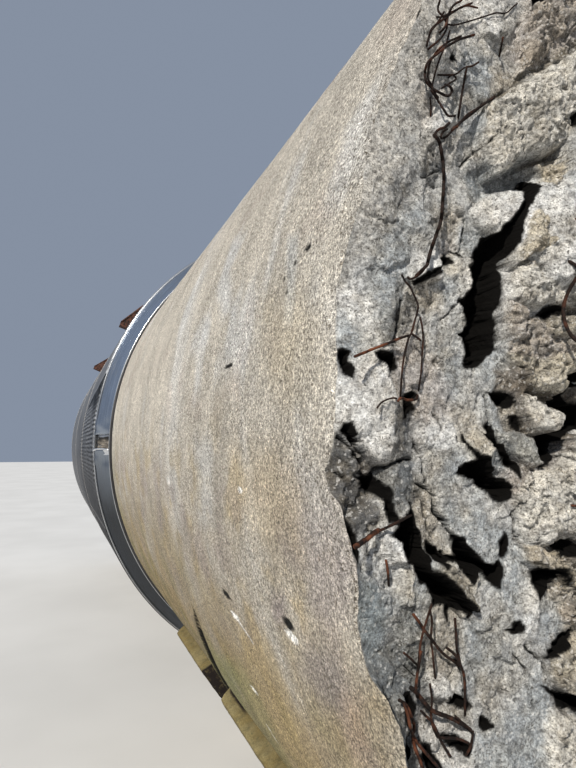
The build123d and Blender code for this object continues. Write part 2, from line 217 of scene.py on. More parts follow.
def grid_faces(m, n, wrap=False, flip=False):
    idx = np.arange(m * n).reshape(m, n)
    if wrap:
        idx = np.concatenate([idx, idx[:1]], 0)
    a, b, c, d = idx[:-1, :-1], idx[1:, :-1], idx[1:, 1:], idx[:-1, 1:]
    q = np.stack([a, d, c, b] if flip else [a, b, c, d], -1)
    return q.reshape(-1, 4)


def smooth_path(points, per=6):
    """Points along a Catmull-Rom curve through the given ones."""
    p = np.asarray(points, float)
    if len(p) < 3:
        t = np.linspace(0, 1, per + 1)[:, None]
        return p[0] * (1 - t) + p[-1] * t
    q = np.vstack([2 * p[0] - p[1], p, 2 * p[-1] - p[-2]])
    out = []
    for i in range(1, len(q) - 2):
        for t in np.arange(per) / per:
            a, b, c, d = q[i - 1], q[i], q[i + 1], q[i + 2]
            out.append(0.5 * (2 * b + (c - a) * t + (2 * a - 5 * b + 4 * c - d) * t * t + (3 * b - a - 3 * c + d) * t ** 3))
    out.append(p[-1])
    return np.array(out)


def tube(path, radii, sides=8, rough=0.0, seed=0):
    """Vertices and quads of a tube round a path, closed at both ends."""
    p = np.asarray(path, float)
    n = len(p)
    r = np.broadcast_to(np.asarray(radii, float), (n,))
    t = np.gradient(p, axis=0)
    t /= np.linalg.norm(t, axis=1)[:, None] + 1e-12
    ref = np.array([0.31, -0.9, 0.3])
    rings = []
    u = np.cross(t[0], ref)
    for i in range(n):
        u = u - t[i] * (u @ t[i])
        u /= np.linalg.norm(u) + 1e-12
        w = np.cross(t[i], u)
        a = np.arange(sides) * 2 * pi / sides
        k = r[i] * (1 + rough * (chance(np.arange(sides) * 0 + i, np.arange(sides), seed) - 0.5))
        rings.append(p[i] + (np.cos(a) * k)[:, None] * u + (np.sin(a) * k)[:, None] * w)
    v = np.vstack(rings + [p[:1] - t[:1] * r[0] * 0.4, p[-1:] + t[-1:] * r[-1] * 0.4])
    f = []
    for i in range(n - 1):
        for j in range(sides):
            a, b = i * sides + j, i * sides + (j + 1) % sides
            f.append((a, b, b + sides, a + sides))
    s, e = n * sides, n * sides + 1
    for j in range(sides):
        k = (j + 1) % sides
        f.append((s, k, j, s))
        f.append((e, (n - 1) * sides + j, (n - 1) * sides + k, e))
    return v, f


def join_parts(parts):
    """Joins (vertices, faces) pairs into one pair; faces may be lists of 3 or 4."""
    vs, fs, base = [], [], 0
    for v, f in parts:
        vs.append(np.asarray(v, float))
        fs += [tuple(i + base for i in q) for q in f]
        base += len(v)
    return np.vstack(vs), fs


def poly_object(name, verts, faces, material, smooth=True, colours=None, values=None):
    """As mesh_object, for faces of mixed sizes."""
    me = bpy.data.meshes.new(name)
    clean = [tuple(dict.fromkeys(int(i) for i in f)) for f in faces]
    me.from_pydata([tuple(map(float, v)) for v in verts], [], clean)
    me.polygons.foreach_set("use_smooth", np.full(len(me.polygons), smooth))
    for label, c in (colours or {}).items():
        a = me.color_attributes.new(name=label, type="FLOAT_COLOR", domain="POINT")
        a.data.foreach_set("color", np.concatenate([c, np.ones((len(c), 1))], 1).astype(np.float32).ravel())
    for label, w in (values or {}).items():
        a = me.attributes.new(name=label, type="FLOAT", domain="POINT")
        a.data.foreach_set("value", np.asarray(w, np.float32).ravel())
    me.materials.append(material)
    ob = bpy.data.objects.new(name, me)
    collection.objects.link(ob)
    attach(ob, "root")
    return ob


# --------------------------------------------------------------- materials
class Shade:
    """A material built from nodes, on a Principled surface."""

    def __init__(self, name, **constants):
        self.mat = bpy.data.materials.new(name)
        self.mat.use_nodes = True
        self.tree = self.mat.node_tree
        self.tree.nodes.clear()
        self.out = self.tree.nodes.new("ShaderNodeOutputMaterial")
        self.bsdf = self.tree.nodes.new("ShaderNodeBsdfPrincipled")
        self.tree.links.new(self.bsdf.outputs[0], self.out.inputs[0])
        self.coord = self.tree.nodes.new("ShaderNodeTexCoord").outputs["Object"]
        for k, v in constants.items():
            self.bsdf.inputs[k.replace("_", " ")].default_value = v

    def put(self, socket, value):
        if isinstance(value, bpy.types.NodeSocket):
            self.tree.links.new(value, socket)
        else:
            if hasattr(socket.default_value, "__len__") and not hasattr(value, "__len__"):
                value = (value,) * len(socket.default_value)
            if hasattr(socket.default_value, "__len__") and len(socket.default_value) == 4 and len(value) == 3:
                value = (*value, 1.0)
            socket.default_value = value

    def node(self, kind, out=0, props=None, **inputs):
        n = self.tree.nodes.new(kind)
        for k, v in (props or {}).items():
            setattr(n, k, v)
        for k, v in inputs.items():
            self.put(n.inputs[int(k[1:]) if k[1:].isdigit() else k.replace("_", " ")], v)
        return n.outputs[out]

    def stretch(self, x, y, z, vector=None):
        return self.node("ShaderNodeMapping", Vector=vector or self.coord, Scale=(x, y, z))

    def noise(self, scale, detail=3.0, rough=0.55, vector=None, distort=0.0):
        return self.node("ShaderNodeTexNoise", Vector=vector or self.coord, Scale=scale, Detail=detail, Roughness=rough, Distortion=distort)

    def voronoi(self, scale, feature="F1", out=0, vector=None, randomness=1.0):
        return self.node("ShaderNodeTexVoronoi", out, {"feature": feature}, Vector=vector or self.coord, Scale=scale, Randomness=randomness)

    def math(self, op, a, b=0.0, clamp=False):
        return self.node("ShaderNodeMath", 0, {"operation": op, "use_clamp": clamp}, _0=a, _1=b)

    def span(self, value, a, b, c=0.0, d=1.0, smooth=True):
        return self.node("ShaderNodeMapRange", 0, {"interpolation_type": "SMOOTHSTEP" if smooth else "LINEAR"}, _0=value, _1=a, _2=b, _3=c, _4=d)

    def mix(self, fac, a, b, mode="MIX"):
        n = self.tree.nodes.new("ShaderNodeMix")
        n.data_type, n.blend_type, n.clamp_factor = "RGBA", mode, True
        self.put(n.inputs[0], fac)
        self.put(n.inputs[6], a)
        self.put(n.inputs[7], b)
        return n.outputs[2]

    def attribute(self, name, colour=False):
        n = self.tree.nodes.new("ShaderNodeAttribute")
        n.attribute_name = name
        return n.outputs["Color" if colour else "Fac"]

    def grey(self, value):
        n = self.tree.nodes.new("ShaderNodeCombineColor")
        for i in range(3):
            self.put(n.inputs[i], value)
        return n.outputs[0]

    def bump(self, height, strength, distance, normal=None):
        n = self.tree.nodes.new("ShaderNodeBump")
        n.inputs["Strength"].default_value = strength
        n.inputs["Distance"].default_value = distance
        self.put(n.inputs["Height"], height)
        if normal is not None:
            self.put(n.inputs["Normal"], normal)
        return n.outputs[0]

    def done(self, colour=None, rough=None, normal=None):
        if colour is not None:
            self.put(self.bsdf.inputs["Base Color"], colour)
        if rough is not None:
            self.put(self.bsdf.inputs["Roughness"], rough)
        if normal is not None:
            self.put(self.bsdf.inputs["Normal"], normal)
        return self.mat


def make_break_material():
    """Fractured concrete: the mesh carries the tint, and the painted shade of its gaps, cracks and pits."""
    m = Shade("concrete_break", Roughness=0.93)
    m.bsdf.inputs["Specular IOR Level"].default_value = 0.10
    tint, deep, coarse = m.attribute("Tint", True), m.attribute("PaintedShade"), m.attribute("Coarse")
    grain = m.noise(430, 4, 0.75)
    blotch = m.noise(34, 4, 0.6)
    mid = m.noise(110, 4, 0.65)
    spots = m.node("ShaderNodeTexVoronoi", 1, {"feature": "F1"}, Vector=m.coord, Scale=330.0)
    spot_value = m.node("ShaderNodeSeparateColor", 0, _0=spots)
    c = m.mix(m.span(blotch, 0.38, 0.62), m.mix(0.22, tint, (0.27, 0.29, 0.31), "MIX"), m.mix(0.14, tint, (0.50, 0.45, 0.36), "MIX"))
    c = m.mix(1.0, c, m.grey(m.span(grain, 0.32, 0.68, 0.42, 1.58, False)), "MULTIPLY")
    c = m.mix(1.0, c, m.grey(m.span(mid, 0.34, 0.66, 0.62, 1.33, False)), "MULTIPLY")
    # painted shade: the dark specks and dark spots stand for small shadows in the grit
    speck = m.span(m.noise(330, 3, 0.7), 0.560, 0.625)
    c = m.mix(m.math("MULTIPLY", speck, m.span(blotch, 0.40, 0.60, 0.38, 0.92)), c, (0.045, 0.040, 0.033))
    dark_spot = m.math("MULTIPLY", m.span(spot_value, 0.90, 0.97), m.span(coarse, 0.1, 0.8, 0.28, 0.62))
    c = m.mix(dark_spot, c, (0.11, 0.10, 0.085))
    pale_spot = m.math("MULTIPLY", m.span(spot_value, 0.12, 0.05), 0.35)
    c = m.mix(pale_spot, c, (0.80, 0.78, 0.74))
    # painted shade: near black in the gaps, cracks and pits
    c = m.mix(deep, c, (0.0035, 0.003, 0.0025))
    h = m.math("ADD", m.math("MULTIPLY", grain, 0.6), m.math("MULTIPLY", mid, 1.2))
    h = m.math("ADD", h, m.math("MULTIPLY", m.span(spot_value, 0.86, 0.93), -0.8))
    return m.done(c, normal=m.bump(h, 1.0, 0.0036))


def make_wall_material():
    """Cast face of the plinth: sandy, pitted, streaked round the hoop."""
    m = Shade("concrete_wall", Roughness=0.92)
    m.bsdf.inputs["Specular IOR Level"].default_value = 0.25
    tint, hollow_shade = m.attribute("Tint", True), m.attribute("PaintedShade")
    sand = m.noise(560, 2, 0.8)
    grain = m.noise(250, 3, 0.75)
    soft = m.noise(55, 4, 0.6)
    size_ = m.noise(7, 3, 0.6)
    pits = m.voronoi(150)
    size = m.noise(60, 2, 0.5)
    hole = m.span(m.math("SUBTRACT", pits, m.math("MULTIPLY", m.span(size, 0.42, 0.62), 0.34)), 0.0, -0.06)
    c = m.mix(1.0, tint, m.grey(m.span(sand, 0.34, 0.66, 0.42, 1.64, False)), "MULTIPLY")
    c = m.mix(1.0, c, m.grey(m.span(grain, 0.37, 0.63, 0.45, 1.58, False)), "MULTIPLY")
    c = m.mix(1.0, c, m.grey(m.span(m.noise(120, 3, 0.65), 0.35, 0.65, 0.70, 1.29, False)), "MULTIPLY")
    # runs that follow the fall of the side, sharp enough to read from afar
    run = m.noise(1.0, 6, 0.66, vector=m.stretch(17, 17, 2.6))
    c = m.mix(1.0, c, m.grey(m.span(run, 0.34, 0.66, 0.90, 1.09, False)), "MULTIPLY")
    wash = m.noise(9, 7, 0.68)
    c = m.mix(1.0, c, m.grey(m.span(wash, 0.36, 0.64, 0.88, 1.11, False)), "MULTIPLY")
    speck = m.span(m.noise(190, 2, 0.7), 0.580, 0.632)
    c = m.mix(m.math("MULTIPLY", speck, m.span(size_, 0.40, 0.62, 0.25, 0.95)), c, (0.075, 0.060, 0.042))
    c = m.mix(1.0, c, m.grey(m.span(soft, 0.3, 0.7, 0.90, 1.10, False)), "MULTIPLY")
    # painted shade in the pits
    c = m.mix(m.math("MULTIPLY", hole, 0.62), c, (0.16, 0.13, 0.09))
    # painted shade of the chips, the crack and the line under the lip
    c = m.mix(hollow_shade, c, (0.006, 0.005, 0.004))
    h = m.math("ADD", m.math("MULTIPLY", sand, 0.8), m.math("MULTIPLY", grain, 1.1))
    h = m.math("ADD", h, m.math("MULTIPLY", hole, -1.0))
    return m.done(c, normal=m.bump(h, 1.0, 0.0030))


def make_rust_material():
    m = Shade("rusty_bar", Roughness=0.85)
    m.bsdf.inputs["Specular IOR Level"].default_value = 0.16
    a = m.noise(240, 4, 0.65)
    b = m.noise(38, 3, 0.6)
    fresh = m.attribute("Fresh")
    c = m.mix(m.span(a, 0.35, 0.68), (0.007, 0.0055, 0.0048), (0.024, 0.0125, 0.009))
    c = m.mix(m.math("MULTIPLY", m.span(b, 0.48, 0.66), fresh), c, (0.135, 0.046, 0.022))
    return m.done(c, normal=m.bump(a, 0.5, 0.0008))


# ------------------------------------------------------- the broken edge
# Where the smooth side ends: frame points, read off along the visible part.
EDGE = [(414, 18), (399, 49), (380, 100), (365, 153), (358, 202), (346, 246), (335, 285), (333, 320), (335, 373), (333, 408), (332, 444), (323, 470), (326, 491), (339, 505), (346, 535), (353, 562), (356, 588), (355, 623), (360, 650), (370, 680), (385, 699), (399, 729), (404, 764)]
_e = sorted((wall_point(u, v)[1], wall_point(u, v)[0]) for u, v in EDGE)
EDGE_A, EDGE_S = np.array([a for a, _ in _e]), np.array([s for _, s in _e])


def edge_station(a):
    """Station of the broken edge at angle a (radians above nine o'clock)."""
    a = (np.asarray(a, float) + pi) % (2 * pi) - pi
    x, z = np.cos(a), np.sin(a)
    free = 0.036 * fbm(x, z, 3.1, 3.0, 3) + 0.018 * perlin(x * 14, z * 14, 1.7) - 0.012
    seen = np.interp(a, EDGE_A, EDGE_S)
    w = step(EDGE_A[0] - 0.10, EDGE_A[0], a) * step(EDGE_A[-1] + 0.10, EDGE_A[-1], a)
    ragged = 0.0028 * perlin(x * 95, z * 95, 4.4) + 0.0022 * perlin(x * 230, z * 230, 8.1)
    return np.clip(free * (1 - w) + seen * w, -0.062, 0.060) + ragged


def arris(a):
    """How far the edge is worn back from the plinth's radius."""
    x, z = np.cos(a), np.sin(a)
    return 0.0040 * (0.7 + 0.5 * fbm(x, z, 1.3, 60, 2) + 0.5 * perlin(x * 16, z * 16, 3.1))


# ----------------------------------------------------- the broken surface
# d and k are dark tints; on the planes in view they paint the shade of facets turned from the light
TINT = {
    "g": (0.420, 0.413, 0.391), "b": (0.348, 0.368, 0.376), "s": (0.200, 0.218, 0.224), "d": (0.155, 0.152, 0.146),
    "w": (0.645, 0.636, 0.613), "t": (0.400, 0.360, 0.298), "y": (0.535, 0.497, 0.422), "p": (0.375, 0.340, 0.310), "k": (0.100, 0.080, 0.060),
    "r": (0.300, 0.190, 0.120),
}
LUMP_TINT = {k: tuple(c * f for c, f in zip(t, (0.86, 0.83, 0.77))) for k, t in TINT.items()}
# Cleaved planes in view: frame point, depth in mm behind the edge's plane,
# slope across and upwards, tint, coarseness.
PLANES = [
    (425, 20, -25, -.1, .2, "g", .3), (410, 45, -12, .1, .1, "b", .3), (398, 92, -4, .1, .1, "g", .35), (385, 130, 0, .15, 0, "g", .35),
    (374, 165, 0, .1, 0, "g", .4), (365, 190, -2, .1, 0, "g", .5), (445, 42, -18, 0, .2, "g", .3), (452, 62, -8, .1, .1, "b", .25),
    (480, 48, -12, -.1, .2, "g", .3), (488, 26, -20, -.3, .3, "w", .3), (507, 22, -22, .1, .1, "g", .3), (480, 76, -6, .1, .1, "b", .3),
    (455, 100, -4, .1, .1, "g", .3), (439, 113, -8, -.2, .3, "w", .3), (424, 108, 4, .2, -.2, "p", .6), (470, 127, -4, .1, .1, "b", .2),
    (455, 147, 0, 0, .1, "g", .3), (420, 148, 0, 0, .1, "g", .25), (402, 128, 0, .05, 0, "g", .3), (430, 169, 14, .5, -.4, "d", .6),
    (466, 158, 2, -.1, .1, "g", .3), (472, 185, 8, .4, 0, "s", .3), (455, 188, -2, -.1, .1, "g", .25), (425, 195, 2, 0, .1, "g", .3),
    (402, 192, 8, .2, -.3, "d", .6), (497, 60, -6, .1, 0, "g", .3), (495, 84, -2, .1, -.1, "t", .4), (385, 215, 4, .2, -.1, "g", .6),
    (370, 215, 0, .1, 0, "g", .4), (416, 216, -4, -.1, .1, "b", .15), (447, 230, 6, .2, -.1, "t", .6), (470, 240, 4, .1, 0, "b", .3),
    (490, 213, -22, -.65, .30, "w", .12), (444, 250, 8, .2, -.2, "p", .6), (425, 240, 2, 0, 0, "g", .5), (396, 242, 0, 0, 0, "b", .4),
    (366, 240, 2, -.1, .1, "g", .35), (350, 272, 18, -.1, .1, "w", .35), (381, 275, 4, .05, 0, "b", .3), (430, 263, -6, -.4, .5, "w", .2),
    (452, 266, -2, -.3, .2, "y", .4), (471, 280, -8, -.4, .2, "w", .3), (430, 296, 8, .1, .1, "t", .5), (451, 286, 2, .1, 0, "b", .3),
    (466, 312, -4, -.1, .1, "g", .4), (385, 312, 4, -.1, .05, "b", .25), (399, 320, 18, .5, -.1, "d", .6), (365, 320, 10, -.15, .1, "w", .3),
    (350, 338, 18, 0, 0, "b", .3), (430, 330, 4, 0, 0, "g", .5), (446, 347, 0, 0, 0, "g", .5), (413, 352, 6, .1, 0, "p", .5),
    (372, 376, -4, -.2, .4, "w", .2), (408, 372, 4, 0, .1, "p", .4), (451, 371, 0, 0, .1, "b", .3), (430, 377, 2, -.1, .1, "p", .4),
    (470, 376, -2, 0, .1, "g", .3), (488, 376, -12, -.3, .2, "b", .15),
    (365, 408, -8, -.25, .2, "w", .10), (378, 440, -10, -.2, .05, "w", .10), (405, 440, 8, .55, -.1, "d", .35), (405, 488, 2, .4, -.3, "d", .45),
    (394, 508, -4, -.1, -.1, "g", .4), (362, 480, 36, .3, -.5, "k", .9), (350, 455, 24, .1, -.2, "d", .7), (430, 402, 0, -.1, .1, "p", .3),
    (440, 440, -6, -.15, .1, "w", .25), (432, 465, -4, 0, .1, "g", .3), (450, 470, -6, .1, 0, "b", .2), (475, 397, -6, 0, .1, "g", .3),
    (468, 420, -8, 0, .1, "t", .4), (481, 440, -18, -.25, .25, "y", .45), (492, 408, -12, .1, .1, "b", .2), (500, 460, -12, .4, 0, "s", .5),
    (512, 480, -18, -.2, .2, "p", .6), (460, 500, -8, .05, .1, "g", .2), (432, 522, 2, .15, -.2, "t", .45), (452, 510, -6, .1, 0, "b", .2),
    (478, 525, -16, -.15, .05, "b", .10), (495, 545, -18, .1, -.1, "b", .10), (500, 512, -18, -.1, .1, "g", .3), (375, 548, 4, .1, 0, "g", .6),
    (395, 548, -6, -.35, .3, "w", .4), (388, 575, 2, 0, .1, "g", .4), (457, 585, -12, -.1, .2, "y", .4),
    (368, 600, -6, .1, 0, "s", .12), (372, 630, -2, .15, 0, "s", .12), (388, 605, -2, 0, .05, "g", .35), (410, 592, -8, -.1, .3, "y", .4),
    (422, 585, 0, .1, 0, "b", .3), (406, 620, 6, .2, 0, "s", .3), (416, 632, 0, -.1, .2, "y", .4), (393, 655, 8, .2, -.1, "d", .55),
    (380, 672, 2, .1, 0, "s", .4), (412, 652, 10, .2, 0, "s", .4), (440, 632, 6, 0, .1, "t", .5), (428, 652, 12, .1, 0, "t", .5),
    (444, 668, 10, .1, -.1, "t", .5), (441, 690, -2, -.3, .4, "w", .15), (480, 640, -10, -.1, .1, "b", .2), (490, 612, -12, -.05, .1, "g", .35),
    (472, 682, -6, 0, .1, "b", .2), (511, 600, -22, -.1, .1, "b", .10), (533, 612, -32, -.3, .2, "w", .2), (520, 668, -18, 0, 0, "g", .35),
    (490, 690, -12, 0, 0, "t", .5), (540, 690, -26, -.1, 0, "b", .15), (512, 740, -24, -.05, .1, "b", .10), (484, 745, -18, -.1, .1, "b", .15),
    (475, 715, -8, .1, 0, "g", .3), (430, 732, 4, -.2, .2, "w", .35), (448, 752, 0, -.2, .3, "w", .35), (412, 716, 14, .2, -.2, "d", .6),
    (400, 742, -30, .4, .1, "s", .4), (420, 758, -8, .2, .1, "d", .5), (455, 715, 8, .1, .1, "t", .5), (430, 705, 18, .3, -.2, "k", .6),
    (560, 575, -30, .1, .1, "t", .8), (545, 620, -30, -.1, .1, "b", .3), (575, 615, -30, .1, .1, "t", .6), (556, 655, -34, .2, .1, "k", .6),
    (530, 760, -26, -.1, .1, "b", .15), (500, 650, -14, .1, .05, "g", .4), (520, 395, -24, .2, -.3, "k", .8), (502, 400, -10, .2, -.2, "t", .7),
    (545, 15, -30, .1, .1, "p", .6), (520, 50, -14, -.1, .2, "p", .4),
]
# Coarse lumps in view: outline in the frame, depth of the crown in mm, drop at
# the rim, width of the shoulder, slopes, tint, coarseness.
LUMPS = [
    ([(519, 40), (527, 2), (545, -30), (600, -30), (620, -20), (620, 12), (576, 40), (548, 56), (523, 73), (519, 78)], -36, 34, 26, .25, -.15, "p", .85),
    ([(483, 106), (499, 96), (523, 78), (576, 48.5), (620, 22), (625, 140), (576, 147), (556, 150), (540, 158), (520, 160), (505, 172), (492, 178), (484, 160), (480, 130)], -66, 46, 22, -.12, .10, "w", .75),
    ([(537, 180), (529, 196), (519, 212), (511, 230), (510, 250), (504, 270), (520, 262), (545, 266), (580, 262), (625, 255), (625, 140), (576, 149), (545, 160), (528, 166)], -74, 60, 18, .0, .30, "y", .8),
    ([(504, 270), (500, 285), (499, 300), (507, 310), (528, 312), (548, 310), (576, 316), (625, 310), (625, 255), (580, 260), (545, 262), (520, 258)], -78, 60, 14, -.05, .30, "w", .7),
    ([(499, 300), (496, 314), (498, 330), (500, 350), (510, 362), (530, 368), (560, 366), (590, 356), (625, 350), (625, 316), (576, 318), (530, 318), (512, 310)], -62, 56, 12, .05, -.15, "p", .9),
    ([(529, 330), (534, 322), (548, 317), (566, 320), (574, 330), (566, 339), (548, 341), (534, 339)], -84, 26, 12, -.1, .2, "t", .8),
    ([(501, 352), (512, 372), (516, 384), (530, 392), (546, 396), (556, 392), (562, 372), (590, 362), (570, 350), (530, 352)], -64, 40, 12, -.1, .25, "y", .9),
    ([(515, 397), (521, 391), (529, 393), (532, 401), (541, 406), (551, 410), (551, 421), (546, 427), (538, 434), (526, 434), (522, 424), (517, 410)], -66, 34, 10, -.2, .25, "w", .55),
    ([(503, 436), (509, 431), (519, 430), (530, 436), (533, 448), (535, 464), (528, 467), (518, 461), (509, 450)], -40, 22, 12, -.25, .1, "b", .08),
    ([(519, 477), (527, 468), (536, 466), (548, 461), (556, 449), (568, 452), (580, 464), (625, 470), (625, 545), (576, 540), (560, 536), (540, 545), (522, 540), (515, 520), (508, 500)], -82, 58, 26, -.22, .22, "w", .85),
    ([(556, 448), (562, 441), (576, 437), (625, 425), (625, 478), (590, 470), (576, 466), (566, 458)], -92, 44, 14, -.1, .2, "w", .8),
    ([(516, 538), (540, 543), (560, 535), (576, 540), (625, 540), (625, 592), (576, 600), (560, 585), (546, 572), (530, 570), (518, 560)], -66, 44, 18, -.05, .1, "t", .9),
    ([(545, 640), (556, 636), (566, 634), (576, 626), (625, 610), (625, 690), (576, 688), (560, 690), (546, 684), (541, 664)], -64, 44, 18, -.1, .25, "y", .85),
    ([(543, 706), (554, 704), (566, 710), (576, 712), (625, 715), (625, 800), (540, 800), (538, 760), (540, 730)], -62, 40, 18, -.15, .2, "w", .6),
    ([(550, 606), (562, 598), (576, 600), (625, 590), (625, 622), (576, 622), (562, 626), (552, 620)], -58, 34, 12, -.1, .2, "p", .8),
    ([(440, 564), (450, 562), (462, 572), (470, 590), (478, 600), (474, 612), (462, 600), (450, 588), (440, 576)], -22, 26, 8, -.1, .3, "y", .4),
]
# Dark gaps: outline in the frame, depth in mm of the surface it opens in,
# how deep it goes, width of its walls.
GAPS = [
    ([(536, 181), (529, 196), (519, 212), (512, 228), (510, 250), (503, 272), (500, 285), (499, 300), (496, 312), (498, 330), (500, 349), (490, 356), (480, 361), (470, 358), (474, 352), (469, 340), (468, 332), (473, 326), (471, 314), (469, 304), (465, 299), (471, 296), (478, 285), (476, 265), (480, 248), (490, 238), (500, 228), (511, 215), (517, 200), (521, 186), (530, 178)], -20, 95, 5),
    ([(563, 368), (557, 385), (557, 400), (555, 412), (551, 422), (546, 429), (538, 436), (531, 437), (533, 450), (535, 462), (537, 467), (546, 463), (551, 456), (557, 446), (565, 438), (576, 434), (600, 425), (600, 398), (576, 402), (570, 396), (576, 388), (600, 372), (576, 364)], -50, 85, 6),
    ([(487, 424), (492, 420), (498, 432), (503, 443), (510, 452), (521, 465), (520, 477), (515, 472), (508, 462), (502, 452), (496, 444), (490, 438)], -18, 60, 4),
    ([(463, 437), (467, 441), (471, 450), (478, 455), (488, 458), (491, 464), (497, 472), (502, 480), (508, 490), (507, 498), (500, 501), (494, 500), (489, 494), (482, 487), (475, 482), (467, 478), (462, 472), (465, 465), (474, 460), (469, 452), (464, 445)], -10, 80, 4),
    ([(413, 503), (406, 513), (398, 520), (391, 534), (399, 543), (401, 555), (405, 564), (411, 567), (414, 574), (420, 583), (427, 585), (431, 598), (430, 607), (438, 604), (444, 606), (446, 621), (450, 607), (457, 607), (466, 615), (470, 609), (462, 598), (453, 588), (446, 580), (437, 572), (430, 568), (428, 555), (424, 543), (419, 528), (416, 515)], 0, 90, 4),
    ([(429, 538), (433, 543), (440, 548), (444, 553), (450, 555), (458, 557), (456, 562), (448, 560), (444, 562), (441, 566), (437, 562), (433, 556), (430, 548)], -4, 50, 3),
    ([(457, 540), (461, 536), (467, 537), (470, 544), (475, 550), (480, 557), (487, 560), (500, 563), (504, 568), (502, 578), (500, 590), (495, 588), (490, 580), (484, 572), (480, 572), (477, 580), (474, 587), (468, 580), (463, 570), (460, 560), (459, 550)], -12, 80, 4),
    ([(531, 570), (532, 585), (537, 594), (540, 598), (545, 590), (546, 577), (552, 574), (562, 582), (568, 588), (564, 581), (552, 568), (540, 565)], -36, 55, 4),
    ([(513, 628), (515, 624), (519, 623), (522, 627), (521, 633), (518, 635), (514, 633)], -22, 40, 3),
    ([(540, 658), (542, 648), (550, 640), (557, 632), (566, 626), (568, 629), (566, 636), (560, 645), (551, 652)], -36, 45, 4),
    ([(540, 686), (550, 690), (560, 692), (570, 690), (600, 686), (600, 716), (576, 712), (566, 707), (556, 705), (548, 696)], -44, 60, 4),
    ([(483, 722), (488, 720), (492, 724), (496, 727), (494, 732), (488, 733), (485, 729)], -16, 30, 2.5),
    ([(338, 350), (344, 346), (351, 350), (349, 358), (352, 370), (350, 379), (346, 376), (341, 372)], 10, 50, 3),
    ([(376, 353), (384, 351), (392, 352), (396, 358), (396, 369), (391, 371), (385, 366), (378, 360)], 4, 55, 3.5),
    ([(404, 393), (412, 391), (417, 396), (409, 403), (413, 411), (408, 415), (405, 419), (400, 418), (401, 410), (402, 400)], 4, 45, 3),
    ([(339, 504), (343, 510), (345, 518), (350, 528), (354, 535), (355, 545), (357, 557), (353, 562), (350, 553), (347, 540), (345, 530), (342, 518)], 2, 40, 2.5),
    ([(341, 424), (347, 423), (352, 435), (356, 441), (352, 441), (345, 434), (341, 431)], 12, 45, 2.5),
    ([(364, 471), (372, 476), (378, 474), (381, 480), (384, 487), (385, 495), (390, 512), (393, 520), (384, 520), (381, 508), (378, 496), (372, 492), (366, 484)], 10, 50, 3.5),
    ([(412, 282), (420, 275), (430, 270), (437, 268), (431, 276), (420, 283), (415, 285)], 4, 26, 2.5),
    ([(438, 261), (446, 257), (451, 262), (447, 267), (441, 265)], 2, 26, 2.5),
    ([(450, 249), (457, 252), (461, 258), (453, 254)], 2, 22, 2),
    ([(493, 391), (505, 390), (514, 394), (516, 402), (512, 408), (503, 406), (497, 399)], -22, 40, 4),
    ([(513, 415), (519, 416), (522, 424), (522, 431), (517, 425)], -30, 40, 3),
    ([(527, 8), (529, -6), (541, -10), (540, 4), (534, 9)], -30, 60, 4),
    ([(528, 316), (534, 311), (548, 309), (558, 312), (550, 316), (534, 320)], -60, 26, 3),
    ([(463, 361), (476, 357), (484, 358), (478, 366), (468, 366)], -4, 22, 3),
    ([(445, 60), (449, 60), (450, 64), (447, 66), (444, 64)], -8, 24, 1.6),
    ([(545, 540), (556, 534), (566, 542), (562, 552), (550, 553)], -62, 24, 4),
    ([(560, 125), (566, 120), (572, 124), (568, 136), (561, 138)], -64, 16, 4),
    ([(503, 545), (509, 536), (512, 546), (509, 558), (504, 560)], -24, 26, 3),
    ([(398, 700), (410, 697), (418, 706), (414, 716), (404, 714)], 0, 40, 4),
    ([(447, 697), (458, 694), (466, 700), (460, 708), (450, 705)], 4, 34, 3),
    ([(422, 744), (432, 746), (440, 760), (446, 780), (430, 780), (424, 762)], -6, 40, 4),
    ([(402, 736), (410, 730), (414, 742), (408, 760), (402, 756)], -20, 34, 3),
    ([(440, 736), (456, 738), (470, 746), (466, 754), (452, 748)], -4, 34, 3),
]
